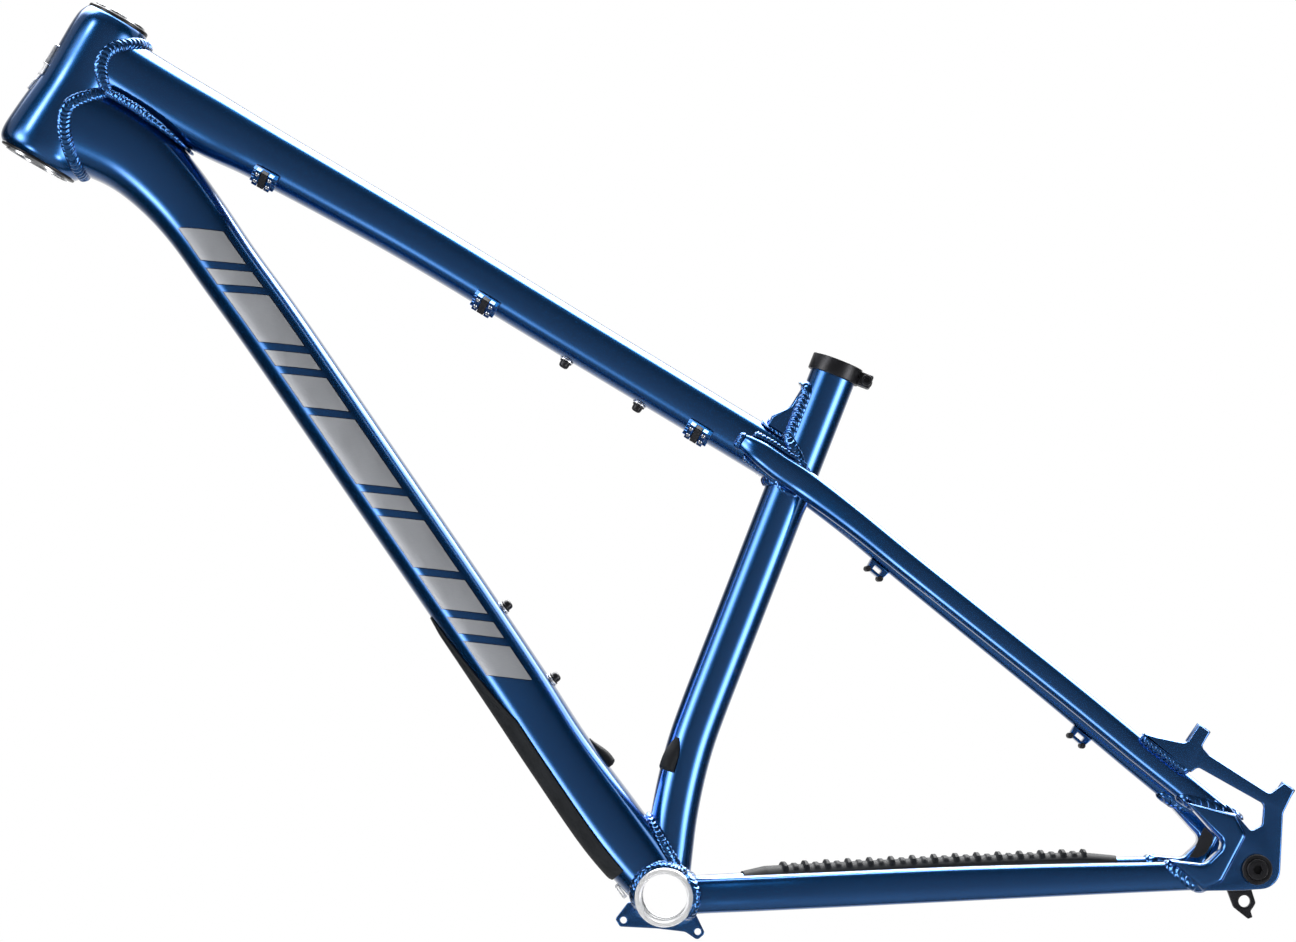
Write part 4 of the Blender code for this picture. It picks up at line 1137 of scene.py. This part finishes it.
def make_cable_guides():
    across = Matrix(((0, 0, 1, 0), (1, 0, 0, 0), (0, 1, 0, 0), (0, 0, 0, 1)))
    lift = moved(z=0.0002)
    for number, x in enumerate((-0.3350, -0.1620, 0.0045), 1):
        seat = TOP.seat(0, x, math.radians(-135.0)) @ lift
        clip_node = "top_tube_cable_clip_%d" % number
        plate("top_guide_saddle_%d" % number, [guide_section(0.0130, 0.0046)], 0.0200,
              seat @ across, BLUE, "top_tube_cable_guide_%d" % number, 0.0003)
        plate("top_guide_clip_%d" % number, [GUIDE_CLIP], 0.0054, seat @ across, NYLON,
              clip_node, 0.0003)
        for end, shift in (("front", -0.0053), ("rear", 0.0053)):
            strap = seat @ moved(shift)
            plate("top_guide_eye_%s_%d" % (end, number), [GUIDE_CLIP], 0.0044, strap @ across,
                  BLUE, clip_node, 0.0004)
            for side, offset in (("upper", -0.0034), ("lower", 0.0034)):
                turned("top_guide_screw_%s_%s_%d" % (end, side, number), GUIDE_SCREW, STEEL,
                       strap @ moved(0.0, offset, 0.0061), soft=0.0001, steps=32)
    for number, x in enumerate((0.1480, 0.3120), 1):
        seat = STAY["right"].seat(0, x, -QUARTER) @ lift
        plate("stay_guide_loop_%d" % number,
              [strip(0.0085, 0.0, 0.0070, 0.0080), strip(0.0035, 0.0022, 0.0035, 0.0058)],
              0.0075, seat @ ON_SIDE, BLUE, "seatstay_cable_guide_%d" % number, 0.0005)
        for end, shift in (("front", -0.0060), ("rear", 0.0060)):
            turned("stay_guide_foot_%s_%d" % (end, number), GUIDE_FOOT, NYLON,
                   seat @ moved(shift, 0.0, 0.0078) @ ON_SIDE, soft=0.0002, steps=32)


def band(name, tube, ends, reach, thickness, node, spacing, arc_steps):
    """A fitted rubber cover: an arc of the tube between two x values, thick and closed.

    reach(part) gives the arc's two angles; thickness(part, across, x) gives its height.
    """
    first, last = sorted(tube.at(0, x) for x in ends)
    rows = []
    for place in tube.places(spacing, first, last):
        part = (place - first) / (last - first)
        low, high = reach(part)
        inner, outer = [], []
        for k in range(arc_steps + 1):
            angle = low + (high - low) * k / arc_steps
            height = thickness(part, 2 * k / arc_steps - 1, tube.row(place)[0])
            inner.append(tube.point(place, angle, 0.0002))
            outer.append(tube.point(place, angle, 0.0002 + height))
        rows.append(inner + outer[::-1])
    shaped(name, grid(rows), RUBBER, node, smooth_angle=50.0)


RIBS_START, RIBS_END, RIB_PITCH = 0.0866, 0.317, 0.0081
RIB_REACH = 0.62             # share of the pitch, and of the half width, that a rib takes


def make_guards():
    def down_reach(part):
        half = math.radians(20.0 + 42.0 * min(part / 0.35, 1.0))
        return -QUARTER - half, -QUARTER + half

    def down_height(part, across, x):
        border = min(1.0, (1.0 - abs(across)) / 0.10)
        ledge = 0.0004 * (abs(across) < 0.78)
        ends = min(1.0, part / 0.04, (1.0 - part) / 0.02)
        return (0.0008 + 0.0008 * border + ledge
                + 0.0005 * math.sin(math.pi * part)) * (0.35 + 0.65 * ends)

    band("down_tube_guard_moulded", DOWN, (-0.1720, -0.0220), down_reach, down_height,
         "down_tube_guard", 0.0025, 40)

    def chain_reach(part):
        half = math.radians(72.0 - 12.0 * part)
        return QUARTER - half, QUARTER + half

    def chain_height(part, across, x):
        ends = min(part / 0.10, (1.0 - part) / 0.10, 1.0)
        border = min(1.0, (1.0 - abs(across)) / 0.12)
        height = 0.0010 + (0.0008 + 0.0022 * border) * ends
        if RIBS_START < x < RIBS_END and abs(across) < RIB_REACH:
            number, place = divmod((x - RIBS_START) / RIB_PITCH, 1.0)
            tall = 0.0026 if int(number) % 2 == 0 else 0.0012
            rise = min(place / 0.16, (RIB_REACH - place) / 0.16, 1.0)
            side = min(1.0, (RIB_REACH - abs(across)) / 0.12)
            height += tall * max(0.0, rise) * side
        return height

    band("chainstay_guard_moulded", CHAIN["right"], (0.0580, 0.3400), chain_reach, chain_height,
         "chainstay_guard", 0.0005, 24)


PORT_LENGTH, PORT_WIDTH = 0.0260, 0.0125


def port(name, matrix, height, node):
    """A rubber cable entry: a rounded nose that rises to an open end."""
    rows = []
    for k in range(25):
        t = k / 24
        rise = height * (0.10 + 0.90 * math.sin(min(t / 0.80, 1.0) * math.pi / 2) ** 1.4)
        if t > 0.94:
            rise *= 1.0 - 0.5 * (t - 0.94) / 0.06
        half = PORT_WIDTH / 2 * (0.30 + 0.70 * math.sin(min(t / 0.6, 1.0) * math.pi / 2))
        row = []
        for n in range(17):
            angle = math.pi * n / 16
            row.append(matrix @ Vector((PORT_LENGTH * t, half * math.cos(angle),
                                        rise * math.sin(angle) ** 0.7)))
        for n in range(5):
            across = -half + half * 2 * n / 5 + half / 5
            row.append(matrix @ Vector((PORT_LENGTH * t, across, -0.001)))
        rows.append(row)
    shaped(name, grid(rows), RUBBER, node, smooth_angle=50.0)


def make_ports():
    port("down_port_moulded", DOWN.seat(0, -0.0840, QUARTER), 0.0066, "down_tube_port")
    seat = SEAT.seat(2, 0.1160, math.radians(142.0)) @ Matrix.Rotation(math.pi, 4, "Z")
    port("seat_port_moulded", seat, 0.0064, "seat_tube_port")
    seat = DOWN.seat(0, -0.0145, -QUARTER) @ moved(z=0.0007)
    plate("tie_bracket_pressed",
          [strip(0.0060, 0.0, 0.0060, 0.0030), strip(0.0038, 0.0009, 0.0038, 0.0020)], 0.0080,
          seat @ ON_SIDE, BARE, "guide_tie_bracket", 0.0002)


def hex_socket(across_flats, depth, matrix, height):
    """A hexagonal hole that reaches down from a height of the piece's axis."""
    radius = across_flats / 2 / math.cos(math.pi / 6)
    return grid([[matrix @ Vector((*polar(radius, math.pi * k / 3), level)) for k in range(6)]
                 for level in (height - depth, height + 0.002)])


def make_bosses():
    rivnut = [(0.0056, 0.0010), (0.0056, 0.0001), (0.0042, 0.0001), (0.0042, -0.0040),
              (0.0028, -0.0040), (0.0028, 0.0010)]
    bolt = [(0.0, 0.0070), (0.0022, 0.0069), (0.0034, 0.0061), (0.0038, 0.0048),
            (0.0039, 0.0027), (0.0048, 0.0024), (0.0048, 0.0013), (0.0025, 0.0013),
            (0.0025, -0.0080), (0.0, -0.0080)]
    for label, tube, places, angle in (("down_tube", DOWN, (-0.1568, -0.1165), QUARTER),
                                       ("top_tube", TOP, (-0.0966, -0.0395), -QUARTER)):
        for number, x in enumerate(places, 1):
            seat = tube.seat(0, x, angle)
            turned("%s_insert_%d" % (label, number), rivnut, BARE, seat,
                   "%s_rivnut_%d" % (label, number), soft=0.0002, steps=48)
            head = turned("%s_button_bolt_%d" % (label, number), bolt, BLACK, seat,
                          "%s_bottle_bolt_%d" % (label, number), soft=0.0002, steps=48)
            cut(head, [hex_socket(0.0030, 0.0028, seat, 0.0070)])


def head_radius(distance):
    for (low, first), (high, second) in zip(HEAD_CURVE, HEAD_CURVE[1:]):
        if low <= distance <= high:
            return first + (second - first) * (distance - low) / (high - low)
    raise ValueError("outside the head tube")


def make_badge():
    """A plain stepped plate on the front of the head tube."""
    steps = ((0.0380, 0.0010, 20.0), (0.0385, 0.0022, 22.0), (0.0470, 0.0026, 24.0),
             (0.0545, 0.0029, 27.0), (0.0551, 0.0017, 32.0), (0.0640, 0.0017, 34.0),
             (0.0646, 0.0012, 30.0), (0.0700, 0.0012, 27.0), (0.0706, 0.0017, 24.0),
             (0.0774, 0.0015, 20.0), (0.0780, 0.0005, 18.0))
    rows = []
    for distance, thick, spread in steps:
        radius = head_radius(distance) + 0.0002
        half = math.radians(spread)
        inner, outer = [[HEAD_MATRIX @ Vector((-r * math.cos(a), r * math.sin(a), -distance))
                         for a in [half * (2 * k / 20 - 1) for k in range(21)]]
                        for r in (radius, radius + thick)]
        rows.append(inner + outer[::-1])
    shaped("head_badge_stepped", grid(rows), BARE, "head_badge", smooth_angle=30.0, bevel=0.0002)


def side_angle(tube, place, rise, side):
    """The angle of a point at a height on the tube's side: -1 is the near side."""
    depth = tube.row(place)[3] / 2
    sine = min(0.999, (abs(rise) / depth)) ** (tube.power / 2)
    angle = math.copysign(math.asin(sine), rise)
    return math.pi - angle if side < 0 else angle


def make_decal():
    """Plain slanted blocks of foil along both sides of the down tube."""
    half_height = 0.0128
    slant = 0.0110
    step = 0.0005
    places = DOWN.places(step, DOWN.at(0, -0.3930), DOWN.at(0, -0.1210))
    length = step * len(places)
    widths = (0.030, 0.014, 0.046, 0.014, 0.030, 0.062, 0.014, 0.046, 0.030, 0.014, 0.030)
    gap = (length - slant * 2 - sum(widths)) / (len(widths) - 1)

    def spot(run, rise, side, lift):
        number = min(max((run + slant * rise / half_height) / step, 0.0), len(places) - 1.001)
        low = int(number)
        place = places[low] + (places[low + 1] - places[low]) * (number - low)
        return DOWN.point(place, side_angle(DOWN, place, rise, side), lift)

    for side, label in ((-1, "left"), (1, "right")):
        for grow, lift, material, kind in ((0.0008, 0.00006, DARK, "outline"),
                                           (0.0, 0.00012, FOIL, "foil")):
            shape = bmesh.new()
            begin = slant
            for width in widths:
                columns = max(2, int((width + 2 * grow) / 0.002))
                rows = [[shape.verts.new(spot(begin - grow + (width + 2 * grow) * i / columns,
                                              (half_height + grow) * (2 * k / 12 - 1), side, lift))
                         for k in range(13)] for i in range(columns + 1)]
                for one, two in zip(rows, rows[1:]):
                    for k in range(12):
                        shape.faces.new((one[k], one[k + 1], two[k + 1], two[k]))
                begin += width + gap
            bmesh.ops.recalc_face_normals(shape, faces=shape.faces)
            face = shape.faces[:][0]
            face.normal_update()
            if face.normal.y * side < 0:
                bmesh.ops.reverse_faces(shape, faces=shape.faces)
            name = "decal_%s_%s" % (kind, label)
            add_piece(name, finished(name, shape, 60.0, False), material)


# ---- headset, seat clamp and axle --------------------------------------------------
def make_bearing(label, outside, inside, low, high):
    wall = 0.0014
    turned(label + "_race_outer", sleeve(outside, outside - wall, low, high), STEEL,
           HEAD_MATRIX, label + "_bearing_outer_race")
    turned(label + "_race_inner", sleeve(inside + wall, inside, low, high), STEEL,
           HEAD_MATRIX, label + "_bearing_inner_race", label + "_bearing")
    pitch = (outside + inside) / 2
    balls = 20
    shape = bmesh.new()
    for k in range(balls):
        place = moved(*polar(pitch, 2 * math.pi * k / balls), (low + high) / 2)
        bmesh.ops.create_uvsphere(shape, u_segments=20, v_segments=12,
                                  radius=(outside - inside) / 2 - wall - 0.0001,
                                  matrix=HEAD_MATRIX @ place)
    add_piece(label + "_balls", finished(label + "_balls", shape), STEEL,
              label + "_bearing_balls")
    seal = high - 0.0012
    turned(label + "_seal", sleeve(outside - wall - 0.0001, inside + wall + 0.0002, seal,
                                   seal + 0.0006), NYLON, HEAD_MATRIX, soft=0.0001)


def make_headset():
    gap = 0.0003
    floor = -HEAD_LENGTH
    upper = [(0.0240, 0.0030), (0.0248, 0.0022), (0.0248, gap), (0.0220, gap),
             (0.0220, -0.0100), (0.0180, -0.0100), (0.0180, -0.0085), (0.0212, -0.0022),
             (0.0212, 0.0030)]
    lower = [(0.0280, floor + 0.0110), (0.0280, floor - gap), (0.0309, floor - gap),
             (0.0309, floor - 0.0014), (0.0303, floor - 0.0020), (0.0263, floor - 0.0020),
             (0.0263, floor + 0.0040), (0.0228, floor + 0.0090), (0.0228, floor + 0.0110)]
    for label, cup, bearing in (
            ("upper", upper, (0.0209, 0.0150, -0.0018, 0.0048)),
            ("lower", lower, (0.0260, 0.0200, floor - 0.0036, floor + 0.0034))):
        turned(label + "_cup_turned", cup, BLACK, HEAD_MATRIX, "headset_%s_cup" % label,
               steps=128)
        make_bearing(label, *bearing)


def make_seat_clamp():
    matrix = leaning(*seat_axis(-0.0065), SEAT_ANGLE)
    inner = SEAT_TUBE_RADIUS + 0.0003
    outer = 0.0199
    top = 0.0123
    lip = top - 0.0050
    profile = [(outer, top), (outer, 0.0), (inner, 0.0), (inner, lip),
               (SEAT_TUBE_BORE, lip), (SEAT_TUBE_BORE, top)]
    collar = turned("seat_collar_turned", profile, BLACK, matrix, "seat_clamp_collar",
                    "seat_clamp", 0.0008, 128)
    ears = tool(box_solid((0.0178, -0.0075, 0.0008), (0.0290, 0.0075, top - 0.0008), matrix))
    bevel = ears.modifiers.new("edge", "BEVEL")
    bevel.width = 0.0020
    bevel.segments = 4
    boolean(collar, ears, "UNION")
    across = matrix @ moved(0.0248, 0.0, top / 2) @ ON_SIDE
    slit = box_solid((0.0145, -0.0013, -0.01), (0.0345, 0.0013, 0.03), matrix)
    hole = [(0.0, 0.02), (0.0030, 0.02), (0.0030, -0.02), (0.0, -0.02)]
    cut(collar, [slit, lathe_solid(hole, across, 32)])
    discard(ears)
    seat = 0.0078
    head = seat + 0.0035
    bolt = [(0.0, head), (0.0040, head), (0.0040, seat), (0.0025, seat), (0.0025, -0.0105),
            (0.0, -0.0105)]
    screw = turned("clamp_bolt_turned", bolt, BLACK, across, "seat_clamp_bolt",
                   "seat_clamp_screw", 0.0005, 48)
    cut(screw, [hex_socket(0.0040, 0.0024, across, head)])
    turned("clamp_nut_turned", sleeve(0.0048, 0.0028, -seat - 0.0025, -seat), BLACK, across,
           "seat_clamp_nut", "seat_clamp")


def make_axle():
    face = HUB_HALF_WIDTH + PLATE_THICKNESS
    matrix = along_y(AXLE[0], 0.0, AXLE[1])
    washer = [(0.0104, face + 0.0035), (0.0110, face + 0.0029), (0.0110, face + 0.0003),
              (0.0063, face + 0.0003), (0.0063, face + 0.0012), (0.0079, face + 0.0012),
              (0.0079, face + 0.0035)]
    turned("axle_washer_turned", washer, BLACK, matrix, "axle_washer", "washer", 0.0003, 96)
    end = -(face + HANGER_THICKNESS + 0.0030)
    head = face + 0.0055
    profile = [(0.0, head), (0.0076, head), (0.0076, face + 0.0015),
               (AXLE_RADIUS, face + 0.0015), (AXLE_RADIUS, end), (0.0, end)]
    axle = turned("rear_axle_turned", profile, BLACK, matrix, "rear_axle", "axle", 0.0007, 96)
    cut(axle, [hex_socket(0.0060, 0.0050, matrix, head)])


# ---- studio ------------------------------------------------------------------------
def make_camera():
    place = Vector((0.03949, -3.0, 0.11963))
    target = Vector((-0.0375, 0.0, 0.31594))
    roll = math.radians(4.497)
    forward = (target - place).normalized()
    level = forward.cross(UP).normalized()
    upright = level.cross(forward)
    right = level * math.cos(roll) + upright * math.sin(roll)
    up = upright * math.cos(roll) - level * math.sin(roll)
    data = bpy.data.cameras.new("camera")
    data.lens = 111.09
    data.sensor_width = 36.0
    camera = linked("camera", data)
    matrix = Matrix((right, up, -forward)).transposed().to_4x4()
    matrix.translation = place
    camera.matrix_world = matrix
    bpy.context.scene.camera = camera


# What the paint reflects, by the angle about the X axis: 0 is the front and 90 the ceiling
STUDIO_BRIGHTEST = 20.0
STUDIO = ((-180, 1.1), (-116, 1.0), (-107, 0.05), (-98, 0.05), (-90, 0.4), (-48, 0.64),
          (-20, 0.50), (4, 0.28), (50, 0.09), (82, 0.10), (92, 20.0), (138, 20.0), (144, 0.4),
          (160, 1.0), (180, 1.1))
# Share of that light by the sideways part, from -1 at the left to 1 at the right
STUDIO_SIDES = ((-0.75, 0.02), (-0.35, 0.8), (-0.1, 1.0), (0.48, 1.0), (0.64, 0.30),
                (0.90, 0.03))
# Soft lamps: direction, how narrow, brightness
LAMPS = (((-0.84, -0.48, 0.15), 45.0, 15.0), ((0.84, -0.48, -0.17), 45.0, 16.0),
         ((-0.59, -0.64, -0.49), 90.0, 14.0), ((-0.62, -0.60, 0.50), 200.0, 22.0),
         ((0.62, -0.60, -0.50), 200.0, 18.0))


def make_world():
    """White to the camera; to reflections, a studio with a ceiling panel and a backdrop."""
    world = bpy.data.worlds.new("studio")
    bpy.context.scene.world = world
    world.use_nodes = True
    nodes = Graph(world.node_tree)
    nodes.tree.nodes.clear()

    def stepped(factor, stops):
        """A ramp of greys over (position, value) stops."""
        node = nodes.add("ShaderNodeValToRGB", {0: factor})
        elements = node.color_ramp.elements
        while len(elements) < len(stops):
            elements.new(0.5)
        for element, (position, value) in zip(elements, stops):
            element.position = position
            element.color = (value, value, value, 1.0)
        return node.outputs["Color"]

    ray = nodes.add("ShaderNodeTexCoord").outputs["Generated"]
    split = nodes.add("ShaderNodeSeparateXYZ", {0: ray}).outputs
    turn = nodes.math("ARCTAN2", split["Z"], nodes.math("MULTIPLY", split["Y"], -1.0))
    around = stepped(nodes.math("MULTIPLY_ADD", turn, 0.5 / math.pi, 0.5),
                     [((angle + 180) / 360, value / STUDIO_BRIGHTEST) for angle, value in STUDIO])
    sides = stepped(nodes.math("MULTIPLY_ADD", split["X"], 0.5, 0.5),
                    [((part + 1.0) / 2, value) for part, value in STUDIO_SIDES])
    total = nodes.math("MULTIPLY", nodes.math("MULTIPLY", around, sides), STUDIO_BRIGHTEST)
    for direction, narrow, bright in LAMPS:
        facing = nodes.add("ShaderNodeVectorMath", {0: ray, 1: Vector(direction).normalized()},
                           operation="DOT_PRODUCT").outputs["Value"]
        fall = nodes.math("EXPONENT", nodes.math("MULTIPLY_ADD", facing, narrow, -narrow))
        total = nodes.math("MULTIPLY_ADD", fall, bright, total)
    studio = nodes.add("ShaderNodeBackground", {"Strength": total})
    white = nodes.add("ShaderNodeBackground", {"Color": (1.0, 1.0, 1.0, 1.0)})
    camera_ray = nodes.add("ShaderNodeLightPath").outputs["Is Camera Ray"]
    mix = nodes.add("ShaderNodeMixShader", {
        0: camera_ray, 1: studio.outputs[0], 2: white.outputs[0]})
    nodes.add("ShaderNodeOutputWorld", {0: mix.outputs[0]})


FLOOR_RADIUS, FLOOR_HEIGHT = 1.35, -0.42


def make_floor():
    shape = bmesh.new()
    bmesh.ops.create_circle(shape, cap_ends=True, segments=96, radius=FLOOR_RADIUS,
                            matrix=moved(z=FLOOR_HEIGHT))
    nodes = Nodes("pale_floor")
    nodes.set(Base_Color=nodes.blend(nodes.noise(6.0, 3.0), (0.86, 0.86, 0.87),
                                     (0.90, 0.90, 0.90)), Roughness=0.85)
    floor = linked("floor", finished("floor", shape))
    floor.data.materials.append(nodes.material)
    floor.visible_glossy = False


def make_studio():
    scene = bpy.context.scene
    scene.view_settings.view_transform = "Standard"
    scene.view_settings.look = "None"
    make_camera()
    make_world()
    make_floor()


make_studio()
make_tubes()
make_shell()
make_welds()
make_dropout("left", -1.0)
make_brake_posts()
make_dropout("right", 1.0)
make_hanger()
make_guide_plate()
make_cable_guides()
make_guards()
make_ports()
make_bosses()
make_badge()
make_decal()
make_headset()
make_seat_clamp()
make_axle()
